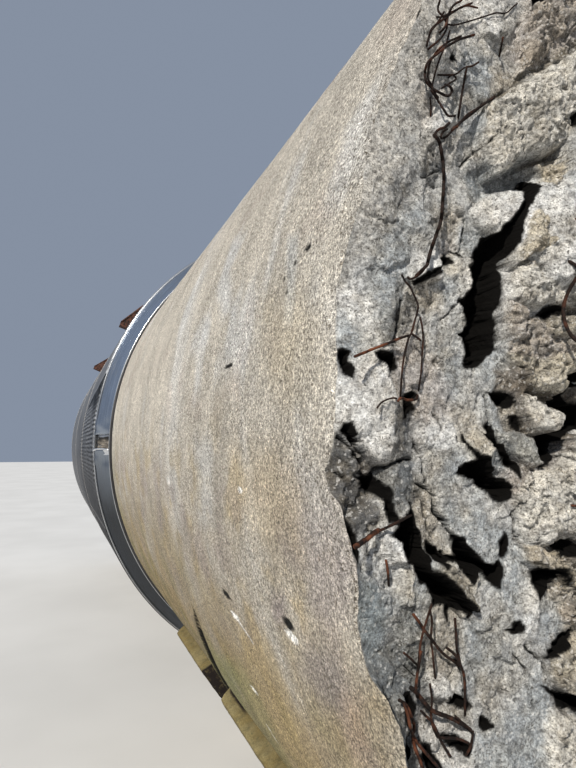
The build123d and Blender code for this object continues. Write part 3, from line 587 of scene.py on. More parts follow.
# Cracks: line in the frame, depth of the surface, half width and depth in mm.
CRACKS = [
    ([(352, 437), (358, 447), (365, 455), (366, 466), (369, 474)], 8, 2.2, 26),
    ([(379, 476), (385, 470), (391, 466), (398, 462), (408, 461), (418, 461)], -4, 2.0, 24),
    ([(340, 436), (348, 442), (360, 456), (366, 470)], 10, 1.6, 20),
    ([(420, 483), (427, 490), (432, 497), (436, 508), (443, 518), (450, 532), (457, 540)], -2, 2.0, 22),
    ([(434, 508), (440, 516), (447, 522)], -2, 3.0, 20),
    ([(420, 440), (422, 452), (424, 470), (426, 482)], -2, 1.0, 10),
    ([(434, 412), (439, 420), (440, 430)], -2, 1.2, 10),
    ([(487, 395), (487, 410), (489, 424)], -8, 1.5, 16),
    ([(462, 221), (462, 232), (461, 243), (459, 252)], 4, 1.3, 14),
    ([(460, 166), (468, 158), (478, 150), (483, 144)], 0, 1.3, 10),
    ([(420, 179), (430, 174), (440, 170)], 4, 1.6, 12),
    ([(402, 300), (399, 315), (396, 330), (391, 342)], 10, 3.2, 22),
    ([(440, 322), (450, 311), (460, 300)], 0, 1.2, 10),
    ([(400, 43), (404, 34), (409, 26), (414, 18)], -28, 1.2, 8),
    ([(422, 500), (428, 520), (436, 536)], 0, 1.0, 8),
    ([(340, 700), (346, 704)], -30, 1.0, 4),
    ([(380, 692), (390, 700), (396, 706)], -20, 1.6, 14),
    ([(461, 570), (458, 560), (448, 553)], -8, 1.4, 14),
    ([(530, 645), (540, 660), (545, 672)], -26, 1.4, 14),
    ([(518, 655), (524, 664), (530, 670)], -20, 1.2, 10),
    ([(533, 704), (536, 708), (540, 706)], -28, 1.6, 10),
    ([(515, 112), (516, 125), (517, 146)], -66, 1.4, 8),
    ([(466, 88), (474, 96), (484, 106)], -8, 1.4, 8),
    ([(519, 500), (516, 516), (518, 530), (522, 540)], -50, 2.2, 16),
    ([(470, 590), (474, 596), (478, 602)], -14, 1.4, 10),
    ([(404, 664), (412, 672), (420, 676)], 8, 1.6, 14),
    ([(556, 455), (566, 466), (576, 470)], -80, 2.0, 16),
    ([(326, 470), (333, 472), (340, 476)], 40, 1.4, 8),
    ([(455, 660), (458, 676), (459, 690)], 6, 2.0, 18),
]

# Darker patches, some of them painted shadow as marked below: outline in the frame, softness in mm, tint, cover.
BREAK_SHADE_AND_STAINS = [
    # these two: painted shadow under the ridge of the top lump
    ([(482, 102), (500, 90), (522, 76), (548, 62), (578, 44), (578, 52), (550, 69), (524, 83), (504, 96), (486, 106)], 3, (0.070, 0.058, 0.040), 0.85),
    ([(520, 72), (545, 58), (576, 38), (576, 46), (546, 66), (522, 80)], 9, (0.150, 0.130, 0.095), 0.55),
    # painted shade in the dark hollow low on the left
    ([(338, 438), (350, 446), (366, 470), (378, 492), (384, 520), (372, 536), (352, 540), (340, 504), (328, 486)], 9, (0.048, 0.041, 0.034), 0.90),
    # painted shade on the block under the crack
    ([(380, 470), (398, 462), (418, 461), (416, 500), (398, 518), (386, 500)], 6, (0.120, 0.127, 0.130), 0.84),
    ([(398, 604), (412, 600), (424, 614), (424, 640), (436, 660), (432, 690), (418, 700), (396, 692), (372, 690), (370, 668), (386, 655), (400, 640), (402, 622)], 9, (0.140, 0.148, 0.148), 0.80),
    ([(352, 586), (374, 584), (392, 604), (388, 640), (378, 660), (360, 640)], 10, (0.200, 0.232, 0.243), 0.75),
    ([(376, 190), (402, 182), (412, 204), (396, 216), (378, 212)], 7, (0.145, 0.142, 0.136), 0.65),
    ([(362, 168), (384, 166), (388, 198), (368, 204)], 10, (0.200, 0.195, 0.182), 0.35),
    ([(384, 214), (406, 220), (402, 238), (384, 232)], 6, (0.130, 0.128, 0.122), 0.60),
    ([(436, 222), (450, 222), (454, 242), (438, 248)], 6, (0.160, 0.155, 0.146), 0.50),
    ([(396, 298), (410, 302), (402, 338), (386, 346), (390, 320)], 6, (0.110, 0.110, 0.106), 0.70),
    # painted shade on a dark facet
    ([(422, 160), (450, 158), (446, 176), (424, 184)], 6, (0.120, 0.116, 0.106), 0.70),
    ([(492, 368), (514, 366), (516, 388), (506, 408), (492, 402)], 6, (0.075, 0.058, 0.046), 0.75),
    ([(436, 40), (452, 44), (450, 78), (436, 74)], 8, (0.200, 0.192, 0.176), 0.45),
    ([(404, 392), (420, 392), (414, 420), (402, 420)], 5, (0.090, 0.082, 0.070), 0.60),
    ([(514, 108), (532, 100), (530, 150), (514, 152)], 12, (0.230, 0.205, 0.165), 0.55),
    ([(530, 230), (560, 226), (576, 246), (560, 262), (534, 256)], 12, (0.230, 0.205, 0.160), 0.55),
    ([(528, 316), (576, 312), (576, 342), (536, 346)], 10, (0.210, 0.190, 0.150), 0.55),
    ([(536, 524), (562, 520), (572, 546), (548, 560)], 9, (0.120, 0.095, 0.074), 0.65),
    ([(508, 460), (524, 464), (520, 488), (508, 480)], 6, (0.110, 0.092, 0.075), 0.55),
    ([(470, 626), (500, 640), (512, 690), (486, 700), (466, 668)], 16, (0.230, 0.232, 0.222), 0.50),
    ([(536, 676), (576, 686), (576, 720), (546, 706)], 8, (0.110, 0.090, 0.070), 0.65),
    ([(436, 560), (462, 580), (474, 604), (448, 600), (430, 580)], 6, (0.140, 0.128, 0.105), 0.40),
    ([(380, 700), (404, 696), (420, 740), (410, 768), (396, 740)], 8, (0.150, 0.140, 0.120), 0.60),
]


def placed(points, depth):
    return [face_point(u, v, depth / 1000.0) for u, v in points]


class Surface:
    """Depth, tint, painted shade and coarseness of the broken end."""

    def __init__(self):
        rows, tints, coarse = [], [], []
        for u, v, d, gx, gz, t, c in PLANES:
            d *= 0.65
            x, z = face_point(u, v, d / 1000.0)
            rows.append((x, z, d / 1000.0, 0.62 * gx, 0.62 * gz))
            tints.append(TINT[t])
            coarse.append(c)
        r = np.random.RandomState(5)
        names = ["g", "g", "b", "t", "p", "w", "y", "s", "t", "g", "d"]
        pitch = 0.085
        for i in range(-18, 19):
            for j in range(-18, 19):
                x, z = pitch * (i + 0.75 * (r.rand() - 0.5)), pitch * (j + 0.75 * (r.rand() - 0.5))
                k = r.rand(8)
                rad = math.hypot(x, z)
                if rad > R + 0.02 or (x < -1.00 and -0.47 < z < 0.70):
                    continue
                inner = 1 - min(1.0, max(0.0, (R - rad - 0.16) / 0.12))
                d = -0.010 - 0.014 * (1 - inner) + 0.034 * (k[0] - 0.5)
                rows.append((x, z, d, 0.5 * (k[1] - 0.5), 0.5 * (k[2] - 0.4)))
                name = names[int(k[3] * len(names))] if inner > 0.5 else ["w", "g", "t", "b", "w", "p", "s", "g"][int(k[3] * 8)]
                tints.append(TINT[name])
                coarse.append(0.2 + 0.4 * k[4] if inner > 0.5 else 0.6 + 0.35 * k[4])
        self.rows, self.tints, self.coarse = np.array(rows), np.array(tints), np.array(coarse)
        self.lumps = [(placed(p, -14), (-16 + 0.42 * (d + 16)) / 1000.0, 0.62 * drop / 1000.0, w / 1000.0, gx, gz, LUMP_TINT[t], c) for p, d, drop, w, gx, gz, t, c in LUMPS]
        self.gaps = [(placed(p, max(d, -16)), 0.62 * deep / 1000.0, w / 1000.0) for p, d, deep, w in GAPS]
        self.cracks = [(placed(p, max(d, -20)), w / 1000.0, 0.8 * deep / 1000.0) for p, d, w, deep in CRACKS]
        self.shade_and_stains = [(placed(p, -6), w / 1000.0, t, k) for p, w, t, k in BREAK_SHADE_AND_STAINS]
        # more of the same outside the view
        for k in range(74):
            a, q = r.rand() * 2 * pi, math.sqrt(r.rand()) * 1.22
            x, z = -q * cos(a), q * sin(a)
            size = 0.06 + 0.09 * r.rand()
            turn, long, n = r.rand() * pi, 0.6 + 0.5 * r.rand(), 9
            k1 = r.rand(n + 6)
            if x < -0.93 and -0.55 < z < 0.78 or q < 0.16:
                continue
            pts = []
            for i in range(n):
                b = 2 * pi * i / n
                w = size * (0.72 + 0.55 * k1[i])
                px, pz = w * cos(b), w * sin(b) * long
                pts.append((x + px * cos(turn) - pz * sin(turn), z + px * sin(turn) + pz * cos(turn)))
            self.lumps.append((pts, -0.030 - 0.020 * k1[n], 0.032, 0.022 + 0.012 * k1[n + 1], 0.5 * (k1[n + 2] - 0.5), 0.4 * (k1[n + 3] - 0.3), LUMP_TINT["wgtpgbws"[int(k1[n + 4] * 8)]], 0.45 + 0.5 * k1[n + 5]))
        for k in range(60):
            a, q = r.rand() * 2 * pi, math.sqrt(r.rand()) * 1.36
            x, z = -q * cos(a), q * sin(a)
            turn = r.rand() * pi
            n, long, wide = 10, 0.035 + 0.075 * r.rand(), 0.008 + 0.02 * r.rand()
            k1 = r.rand(2 * n)
            if x < -0.93 and -0.55 < z < 0.78 or q < 0.13:
                continue
            pts = []
            for i in range(n):
                b = 2 * pi * i / n
                px, pz = long * cos(b) * (0.7 + 0.6 * k1[i]), wide * sin(b) * (0.6 + 0.9 * k1[n + i]) + 0.25 * long * (cos(b) ** 2 - 0.5)
                pts.append((x + px * cos(turn) - pz * sin(turn), z + px * sin(turn) + pz * cos(turn)))
            self.gaps.append((pts, 0.035 + 0.025 * r.rand(), 0.006))
        for k in range(46):
            a, q = r.rand() * 2 * pi, 0.15 + 1.2 * math.sqrt(r.rand())
            x, z = -q * cos(a), q * sin(a)
            turn = r.rand() * 2 * pi
            pts = [(x, z)]
            keep = not (x < -0.93 and -0.55 < z < 0.78)
            for i in range(int(3 + 4 * r.rand())):
                turn += 1.1 * (r.rand() - 0.5)
                l = 0.02 + 0.03 * r.rand()
                pts.append((pts[-1][0] + l * cos(turn), pts[-1][1] + l * sin(turn)))
            if keep:
                self.cracks.append((pts, 0.0025 + 0.002 * r.rand(), 0.025))

    def __call__(self, x, z, cell):
        """x, z: arrays; cell: mesh spacing, which limits the fine relief."""
        shape = x.shape
        x, z = x.ravel(), z.ravel()
        n = len(x)
        wx = x + 0.010 * fbm(x, z, 0.3, 16, 3) + 0.0035 * perlin(x * 70, z * 70, 2.2)
        wz = z + 0.010 * fbm(x, z, 9.3, 16, 3) + 0.0035 * perlin(x * 70, z * 70, 7.2)
        depth, tint, coarse = np.zeros(n), np.zeros((n, 3)), np.zeros(n)
        P = self.rows
        for a in range(0, n, 30000):
            b = min(n, a + 30000)
            lo, hi = wx[a:b].min() - 0.2, wx[a:b].max() + 0.2
            lz, hz = wz[a:b].min() - 0.2, wz[a:b].max() + 0.2
            pick = np.where((P[:, 0] > lo) & (P[:, 0] < hi) & (P[:, 1] > lz) & (P[:, 1] < hz))[0]
            q = P[pick].astype(np.float32)
            dx = wx[a:b, None].astype(np.float32) - q[:, 0]
            dz = wz[a:b, None].astype(np.float32) - q[:, 1]
            d = np.sqrt(dx * dx + 0.62 * dz * dz)
            w = np.exp(-(d - d.min(1, keepdims=True)) / 0.0022)
            w /= w.sum(1, keepdims=True)
            depth[a:b] = (w * (q[:, 2] + q[:, 3] * dx + q[:, 4] * dz)).sum(1)
            soft = np.exp(-(d - d.min(1, keepdims=True)) / 0.006)
            soft /= soft.sum(1, keepdims=True)
            tint[a:b] = soft @ self.tints[pick]
            coarse[a:b] = soft @ self.coarse[pick]
        # lumps stand proud
        jitter = 0.0035 * fbm(x, z, 5.5, 45, 3)
        for pts, top, drop, wide, gx, gz, t, c in self.lumps:
            q = np.array(pts)
            near = np.where((x > q[:, 0].min()) & (x < q[:, 0].max()) & (z > q[:, 1].min()) & (z < q[:, 1].max()))[0]
            if not len(near):
                continue
            xs, zs = x[near], z[near]
            sd = outline_distance(xs, zs, pts) + jitter[near]
            t1 = np.clip(1 + sd / wide, 0, 1)
            rim = drop * (1 - np.sqrt(np.maximum(1 - t1 * t1, 0)))
            cx, cz = q[:, 0].mean(), q[:, 1].mean()
            h = top + rim + gx * (xs - cx) * 0.6 + gz * (zs - cz) * 0.6 + 0.006 * facets(xs, zs, 22, 31)
            up = (sd < 0) & (h < depth[near])
            hit = near[up]
            depth[hit] = h[up]
            k = step(0, 0.006, -sd[up])[:, None]
            tint[hit] = tint[hit] * (1 - k) + np.array(t) * k
            coarse[hit] = coarse[hit] * (1 - k[:, 0]) + c * k[:, 0]
        # relief: cleaved facets, then grit
        depth += (0.0045 + 0.004 * coarse) * facets(wx, wz * 0.8, 30, 71) * (0.45 + coarse)
        depth += 0.0022 * (0.5 + coarse) * facets(wx, wz, 78, 83)
        knob = np.abs(fbm(x, z, 3.3, 34, 3))
        depth += step(0.45, 0.85, coarse) * (0.020 * (knob - 0.18) + 0.006 * (np.abs(perlin(x * 110, z * 110, 6.1)) - 0.3))
        if cell < 0.004:
            depth += (0.0008 + 0.0022 * coarse) * fbm(x, z, 1.1, 150, 3)
            one, _, _, _, ci, cj = cells(x, z, 120, 91)
            stone = step(0.5, 0.2, one) * (chance(ci, cj, 93) > 0.62)
            depth -= 0.0022 * stone * step(0.3, 0.8, coarse)
            hollow_shade = step(0.42, 0.15, one) * (chance(ci, cj, 97) > 0.86)
            depth += 0.0035 * hollow_shade * step(0.2, 0.6, coarse)
        else:
            hollow_shade = np.zeros(n)
        # draped streaks on the smooth, bluish planes
        bluish = np.clip((tint[:, 2] - tint[:, 0]) / 0.05, 0, 1) * (1 - coarse)
        depth += 0.0022 * bluish * fbm(x * 9, z * 1.2, 2.0, 9, 3)
        # the rim follows the smooth side
        a = np.arctan2(z, -x)
        inward = R - arris(a) - np.hypot(x, z)
        flush = step(0.06, 0.32, z) * step(-0.90, -1.05, x)
        hold = np.exp(-np.maximum(inward, 0) / (0.011 + 0.050 * flush))
        depth = depth * (1 - hold) + (edge_station(a) + (0.25 - 0.33 * flush) * np.maximum(inward, 0)) * hold
        # gaps and cracks, painted dark inside as shade
        dark = np.zeros(n)
        rag = 0.0022 * fbm(x, z, 8.8, 90, 3)
        for pts, deep, wide in self.gaps:
            q = np.array(pts)
            near = np.where((x > q[:, 0].min() - 0.01) & (x < q[:, 0].max() + 0.01) & (z > q[:, 1].min() - 0.01) & (z < q[:, 1].max() + 0.01))[0]
            if not len(near):
                continue
            sd = outline_distance(x[near], z[near], pts) + rag[near]
            k = step(0.0018, wide + 0.0018, -sd)
            depth[near] += deep * k
            dark[near] = np.maximum(dark[near], step(0.0028, 0.0002, sd))
        for pts, wide, deep in self.cracks:
            q = np.array(pts)
            near = np.where((x > q[:, 0].min() - 0.012) & (x < q[:, 0].max() + 0.012) & (z > q[:, 1].min() - 0.012) & (z < q[:, 1].max() + 0.012))[0]
            if not len(near):
                continue
            d = outline_distance(x[near], z[near], pts, False) + 1.2 * rag[near]
            w = max(wide, 0.8 * cell)
            k = 1 - step(0.25 * w, 1.15 * w, d)
            depth[near] += deep * k
            dark[near] = np.maximum(dark[near], k * min(1.0, 1.5 * wide / w))
        # dust and damp, in random patches
        dirt = step(0.02, 0.28, fbm(x, z, 12.4, 14, 4)) * 0.45
        tint = tint * (1 - dirt[:, None] * np.array([0.35, 0.40, 0.48]))
        dirt = step(0.05, 0.32, fbm(x, z, 22.4, 48, 3)) * 0.62
        tint = tint * (1 - dirt[:, None] * np.array([0.42, 0.44, 0.46]))
        for pts, soft, t, k in self.shade_and_stains:
            q = np.array(pts)
            near = np.where((x > q[:, 0].min() - soft) & (x < q[:, 0].max() + soft) & (z > q[:, 1].min() - soft) & (z < q[:, 1].max() + soft))[0]
            if not len(near):
                continue
            sd = outline_distance(x[near], z[near], pts) + 0.7 * soft * fbm(x[near], z[near], 17.0, 60, 3)
            w = (k * step(soft, -soft, sd))[:, None]
            tint[near] = tint[near] * (1 - w) + np.array(t) * w
        tint = tint * (1 - 0.07 * step(-0.12, -0.34, z) * step(-1.0, -1.1, x))[:, None]
        # painted shade in the pits as well
        dark = np.clip(np.maximum(dark, 0.55 * hollow_shade), 0, 1)
        # undercut and ragged flanks: shift sideways by depth
        k = 0.0075 if cell < 0.004 else 0.006
        hold = step(0.0, 0.02, inward)
        sx = hold * (k * fbm(x, z, depth * 1.6, 30, 3) + 0.0022 * fbm(x, z, depth * 1.4, 120, 2))
        sz = hold * (k * fbm(x + 9, z, depth * 1.6, 30, 3) + 0.0022 * fbm(x + 9, z, depth * 1.4, 120, 2))
        self.shift = sx.reshape(shape), sz.reshape(shape)
        return depth.reshape(shape), tint, dark, coarse


surface = Surface()
WALL_TINT = np.array([0.414, 0.382, 0.329])
break_material = make_break_material()

# near part of the break, fine enough for the camera that stands beside it
STEP = 0.0020
zs = np.arange(-0.545, 0.765, STEP)
cols = 214
X = np.zeros((len(zs), cols))
rim_r = R - arris(np.arctan2(zs, np.sqrt(R * R - zs * zs)))
for i, z in enumerate(zs):
    X[i] = np.linspace(-math.sqrt(rim_r[i] ** 2 - z * z), -0.985, cols)
Z = np.repeat(zs[:, None], cols, 1)
D, tint, dark, coarse = surface(X, Z, STEP)
A = np.arctan2(Z, -X)
D[:, 0] = edge_station(A[:, 0])
# tuck the borders behind the coarser surface round about
inner = np.minimum(np.minimum(Z - zs[0], zs[-1] - Z), -0.985 - X)
D = D + 0.03 * step(0.012, 0.0, inner)
# painted light: a ragged band along the rim takes the side's tint and is made lighter towards the top
zf, inw = Z.ravel(), (R - np.hypot(X, Z)).ravel()
reach = 0.006 + 0.060 * step(0.10, 0.34, zf) + 0.085 * step(0.34, 0.60, zf)
ragged = inw + 0.6 * reach * fbm(X.ravel(), Z.ravel(), 4.4, 14, 4)
rim_like = step(1.0, 0.25, ragged / reach) * (0.55 + 0.38 * step(0.0, 0.3, zf))
bright = (1.0 + 0.26 * step(0.10, 0.34, zf))[:, None]
tint = tint * (1 - rim_like[:, None]) + WALL_TINT * np.array([1.0, 1.03, 1.09]) * bright * rim_like[:, None]
keep_in = step(0.0, 0.02, inner)
P = np.stack([X + keep_in * surface.shift[0], D + Y0, Z + keep_in * surface.shift[1] + AXIS], -1)
half = len(zs) // 2
for name, a, b in (("broken_face_near_lower", 0, half + 1), ("broken_face_near_upper", half, len(zs))):
    sel = slice(a * cols, b * cols)
    ob = mesh_object(name, P[a:b], grid_faces(b - a, cols, flip=True), break_material, colours={"Tint": tint[sel]}, values={"PaintedShade": dark[sel], "Coarse": coarse[sel]})
    if name.endswith("lower"):
        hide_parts("core_lumps")

# the rest of the broken end
rings, spokes = 101, 540
rr = 0.0565 + (R - 0.0565) * (np.arange(rings) / (rings - 1)) ** 0.85
aa = np.arange(spokes) * 2 * pi / spokes
RR, AA = np.meshgrid(rr, aa)
RR[:, -1] = R - arris(aa)
X, Z = -RR * np.cos(AA), RR * np.sin(AA)
D, tint, dark, coarse = surface(X, Z, 0.012)
# painted shade: the coarser rest is darkened to stand for small shadows of relief it lacks
tint = tint * 0.93
D[:, -1] = edge_station(AA[:, -1])
inside = np.minimum(np.minimum(Z - zs[0], zs[-1] - Z), -0.985 - X)
D = D + 0.15 * step(0.004, 0.045, inside)
clear = step(0.0, 0.03, RR - 0.0565)
P = np.stack([X + clear * surface.shift[0], D + Y0, Z + clear * surface.shift[1] + AXIS], -1)
ob = mesh_object("broken_face_rest", P, grid_faces(spokes, rings, wrap=True), break_material, colours={"Tint": tint}, values={"PaintedShade": dark, "Coarse": coarse})
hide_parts("broken_end")


# ------------------------------------------------------ side of the plinth
wall_material = make_wall_material()


def wall_shape(a, s):
    """Radius, tint and painted shade of the cast side."""
    x, z = np.cos(a) * R, np.sin(a) * R
    from_edge = s - edge_station(a)
    r = R + 0.0022 * fbm(x, z, s, 2.2, 3) + 0.0009 * fbm(x, z, s, 14, 3)
    near = step(1.6, 0.0, s)
    r = r + (0.0004 + 0.0006 * near) * fbm(x, z, s * 0.9, 75, 3)
    # crumbled arris
    worn = np.exp(-np.maximum(from_edge, 0) / 0.0060)
    r = r * (1 - worn) + (R - arris(a)) * worn
    chip = step(0.15, 0.42, fbm(x, z, s, 21, 3)) * step(0.035, 0.0, from_edge) * step(0.0, 0.004, from_edge)
    r = r - 0.005 * chip
    # colour: sandy, with hoop-wise streaks, grey washes and green-ochre below
    hoop = fbm(x * 0.35, z * 0.35, s, 7.0, 4)
    hoop2 = fbm(x * 0.5, z * 0.5, s + 40, 19.0, 3)
    cloud = fbm(x, z, s, 3.2, 4)
    t = np.ones(np.shape(a) + (3,)) * WALL_TINT
    t = t * (1 + 0.20 * hoop[..., None] + 0.12 * hoop2[..., None] + 0.16 * cloud[..., None])

    def lay(tt, k, colour):
        return tt * (1 - k[..., None]) + np.array(colour) * k[..., None]

    pale = step(0.05, 0.42, fbm(x * 0.5, z * 0.5, s - 12, 5.2, 4)) * 0.75
    t = lay(t, pale, (0.520, 0.515, 0.500))
    band = np.exp(-((s - 1.02 - 0.05 * fbm(x, z, 4.0, 2.5, 2)) / 0.10) ** 2) * step(0.62, -0.2, a) * 0.65
    t = lay(t, band, (0.540, 0.538, 0.525))
    pinkish = step(0.1, 0.5, fbm(x, z, s + 7, 4.1, 4)) * 0.6
    t = lay(t, pinkish, (0.385, 0.330, 0.285))
    up = np.arctan2(np.sin(a), np.abs(np.cos(a)))
    low = step(-0.08, -0.46, up + 0.12 * fbm(x, z, s, 3.0, 3))
    t = lay(t, low * 0.78 * step(-0.6, 0.3, fbm(x, z, s + 21, 5.0, 4)), (0.345, 0.275, 0.135))
    ochre = step(0.02, 0.30, fbm(x, z, s + 55, 8.0, 4)) * step(0.10, -0.12, up)
    t = lay(t, ochre * 0.62, (0.405, 0.330, 0.200))
    green = step(-0.05, 0.35, fbm(x, z, s + 3, 6.0, 4)) * step(-0.16, -0.50, up)
    t = lay(t, green * 0.65, (0.235, 0.225, 0.098))
    lilac = step(0.0, 0.35, fbm(x, z, s + 31, 5.0, 3)) * step(0.0, -0.12, up) * step(-0.42, -0.20, up)
    t = lay(t, lilac * 0.60, (0.335, 0.298, 0.285))
    # painted shade: darker and warmer towards the bottom, which turns from the light, lightest a little above nine
    # o'clock, less so near the break
    shade = np.interp(up, [-1.5, -0.62, -0.42, -0.20, -0.05, 0.10, 0.28, 0.50], [0.60, 0.70, 0.75, 0.82, 0.97, 1.10, 1.04, 1.00])
    warm = np.interp(up, [-0.62, -0.42, -0.25, -0.10, 0.05], [0.78, 0.80, 0.88, 0.96, 1.0])
    shade = 1 - (1 - shade) * (0.42 + 0.58 * step(0.15, 0.75, s))
    t = 1.05 * t * shade[..., None] * np.stack([np.ones_like(warm), 0.6 + 0.4 * warm, warm], -1)
    far = step(2.35, 2.86, s) * step(0.0, 0.5, fbm(x, z, s * 0.5, 6.5, 3) + 0.25) * step(0.15, -0.25, a)
    t = lay(t, far * 0.45, (0.240, 0.225, 0.140))
    # a shallow step where the lip meets the plinth, with a painted shadow line along it
    joint = step(0.030, 0.016, S_PLINTH - s)
    r = r - 0.006 * joint
    grey_edge = step(0.05, 0.0, from_edge) * 0.35
    t = lay(t, grey_edge, (0.350, 0.335, 0.305))
    # painted shade in the chips at the edge and along the lip
    dark = np.maximum(0.75 * chip * step(0.004, 0.0, from_edge), 0.85 * joint)
    return r, np.clip(t, 0.02, 0.95), dark


# Near-black colours in the chips are painted shade in small holes; the pale ones are freshly broken concrete.
CHIPS = [  # frame point, radii along and round in mm, depth, colour in it
    (291, 637, 26, 9, 2, (0.86, 0.84, 0.80)), (288, 624, 17, 7.5, 2, (0.012, 0.010, 0.010)), (235, 616, 32, 8, 1.5, (0.78, 0.76, 0.72)), (226, 594, 24, 6, 2, (0.040, 0.030, 0.024)), (231, 600, 9, 3.5, 2, (0.090, 0.070, 0.050)), (254, 690, 22, 7, 2, (0.74, 0.72, 0.66)), (308, 248, 8, 3.4, 3, (0.050, 0.042, 0.034)), (229, 366, 22, 3.4, 2, (0.06, 0.05, 0.04)), (284, 279, 4.5, 3, 3, (0.05, 0.045, 0.035)), (287, 292, 4, 2.6, 3, (0.07, 0.06, 0.045)), (295, 263, 4, 2.6, 3, (0.07, 0.06, 0.045)),
    (291, 678, 6, 5, 3, (0.12, 0.10, 0.07)), (300, 700, 8, 6, 2.5, (0.60, 0.56, 0.48)), (304, 712, 6, 4, 3, (0.14, 0.12, 0.08)),
    (240, 490, 14, 6, 1.5, (0.78, 0.76, 0.72)), (168, 482, 30, 7, 1.5, (0.78, 0.76, 0.72)),
    (279, 628, 6, 5, 2, (0.2, 0.17, 0.12)), (318, 560, 4, 4, 2, (0.16, 0.13, 0.10)), (300, 470, 4, 3, 2, (0.15, 0.12, 0.09)),
]
SCRATCHES = [  # line in the frame, half width in mm, colour, depth in mm
    ([(231, 610), (238, 620), (246, 632), (252, 642)], 4.0, (0.78, 0.76, 0.72), 0.5), ([(272, 640), (278, 652), (285, 668)], 2.0, (0.70, 0.68, 0.62), 0.6),
    ([(265, 722), (271, 732), (277, 742)], 2.4, (0.80, 0.78, 0.73), 0.5), ([(291, 676), (297, 694), (305, 714)], 1.8, (0.22, 0.18, 0.12), 1.2),
]
# Stains on the side; the colours of those low down are darker, as they hold the painted shade of the side there.
WALL_STAINS = [  # outline in the frame, softness in m, colour, cover
    ([(233, 240), (243, 240), (231, 268), (232, 314), (222, 318), (217, 288)], 0.030, (0.520, 0.530, 0.535), 0.60),
    ([(203, 318), (210, 324), (204, 346), (196, 356), (192, 346)], 0.030, (0.550, 0.555, 0.555), 0.55),
    ([(287, 236), (298, 236), (296, 264), (295, 300), (292, 326), (284, 326), (288, 280)], 0.014, (0.440, 0.455, 0.455), 0.55),
    ([(272, 598), (283, 600), (286, 622), (278, 628), (270, 612)], 0.020, (0.270, 0.232, 0.245), 0.60),
    ([(300, 640), (335, 648), (350, 690), (345, 716), (320, 704), (300, 672)], 0.030, (0.262, 0.238, 0.244), 0.55),
    ([(242, 636), (264, 630), (288, 690), (304, 732), (290, 762), (262, 722), (246, 672)], 0.030, (0.385, 0.295, 0.150), 0.55),
    ([(230, 455), (275, 452), (302, 500), (296, 548), (255, 550), (232, 500)], 0.050, (0.455, 0.368, 0.232), 0.50),
    ([(262, 300), (300, 296), (318, 360), (300, 410), (270, 380)], 0.050, (0.470, 0.395, 0.270), 0.40),
    ([(206, 640), (232, 666), (252, 722), (238, 714), (215, 674)], 0.030, (0.225, 0.230, 0.100), 0.50),
    ([(196, 440), (212, 440), (214, 522), (200, 526)], 0.040, (0.450, 0.455, 0.450), 0.50),
    ([(218, 662), (240, 664), (262, 700), (290, 764), (266, 768), (246, 724), (228, 690)], 0.045, (0.235, 0.240, 0.112), 0.42),
    ([(345, 690), (362, 700), (374, 760), (352, 766), (340, 720)], 0.020, (0.400, 0.300, 0.235), 0.50),
    ([(312, 560), (345, 572), (352, 620), (330, 632), (308, 600)], 0.030, (0.330, 0.292, 0.292), 0.45),
]
# a long crack low down: stations, and degrees above nine o'clock
crack_points = [(b, math.radians(c)) for b, c in ((1.103, -20.9), (1.141, -23.5), (1.186, -27.3), (1.235, -31.0), (1.262, -33.0), (1.285, -34.8), (1.290, -36.5), (1.262, -38.4))]

crack_a, crack_s = np.array([c for _, c in crack_points])[::-1], np.array([b for b, _ in crack_points])[::-1]


def marks(a, s, r, t, dark):
    y = a * R
    for pts, soft, colour, cover in WALL_STAINS:
        q = [wall_point(u, v) for u, v in pts]
        sd = outline_distance(s, y, [(b, c * R) for b, c in q]) + 0.8 * soft * fbm(s, y, 3.0, 14, 4)
        k = cover * step(soft, -soft, sd)
        t = t * (1 - k[..., None]) + np.array(colour) * k[..., None]
    for u, v, ls, lr, deep, colour in CHIPS:
        cs, ca = wall_point(u, v)
        q = np.hypot((s - cs) / (ls / 1000.0), (y - ca * R) / (lr / 1000.0)) + 0.35 * perlin(s * 160, y * 160, 3.0)
        k = step(1.05, 0.75, q)
        r = r - k * deep / 1000.0
        t = t * (1 - k[..., None]) + np.array(colour) * k[..., None]
        # the painted shade of a dark hole spreads a little round it
        if sum(colour) < 0.2:
            dark = np.maximum(dark, step(1.45, 1.10, q))
    for pts, wide, colour, deep in SCRATCHES:
        q = [wall_point(u, v) for u, v in pts]
        d = outline_distance(s, y, [(b, c * R) for b, c in q], False) * 1000.0
        k = step(wide, wide * 0.4, d + 1.2 * perlin(s * 120, y * 120, 5.0)) * step(-0.35, 0.15, perlin(s * 45, y * 45, 1.0))
        r = r - k * deep / 1000.0
        t = t * (1 - k[..., None]) + np.array(colour) * k[..., None]
    # its far side stands a little proud of its near side
    past = s - np.interp(a, crack_a, crack_s) + 0.0025 * perlin(s * 30, y * 30, 2.0)
    open_ = step(math.radians(-19.6), math.radians(-24.0), a) * step(math.radians(-40.0), math.radians(-37.0), a)
    r = r + open_ * np.where(past > 0.0, 0.0055 * step(0.0, 0.008, past) * step(0.15, 0.01, past) - 0.0045 * step(0.008, 0.0, past), -0.0045 * step(-0.060, -0.006, past))
    # painted shadow: a dark line behind the step
    dark = np.maximum(dark, step(0.0, 0.35, open_) * step(-0.014, -0.006, past) * step(0.013, 0.007, past))
    return r, t, dark


def wall_patch(name, a, s, fine=0.0, tuck=None):
    """a, s: grids. tuck lowers the border so that patches overlap unseen."""
    r, t, dark = wall_shape(a, s)
    r, t, dark = marks(a, s, r, t, dark)
    if tuck is not None:
        r = r - tuck
    P = np.stack([-np.cos(a) * r, s + Y0, np.sin(a) * r + AXIS], -1)
    return P, t.reshape(-1, 3), dark.ravel()


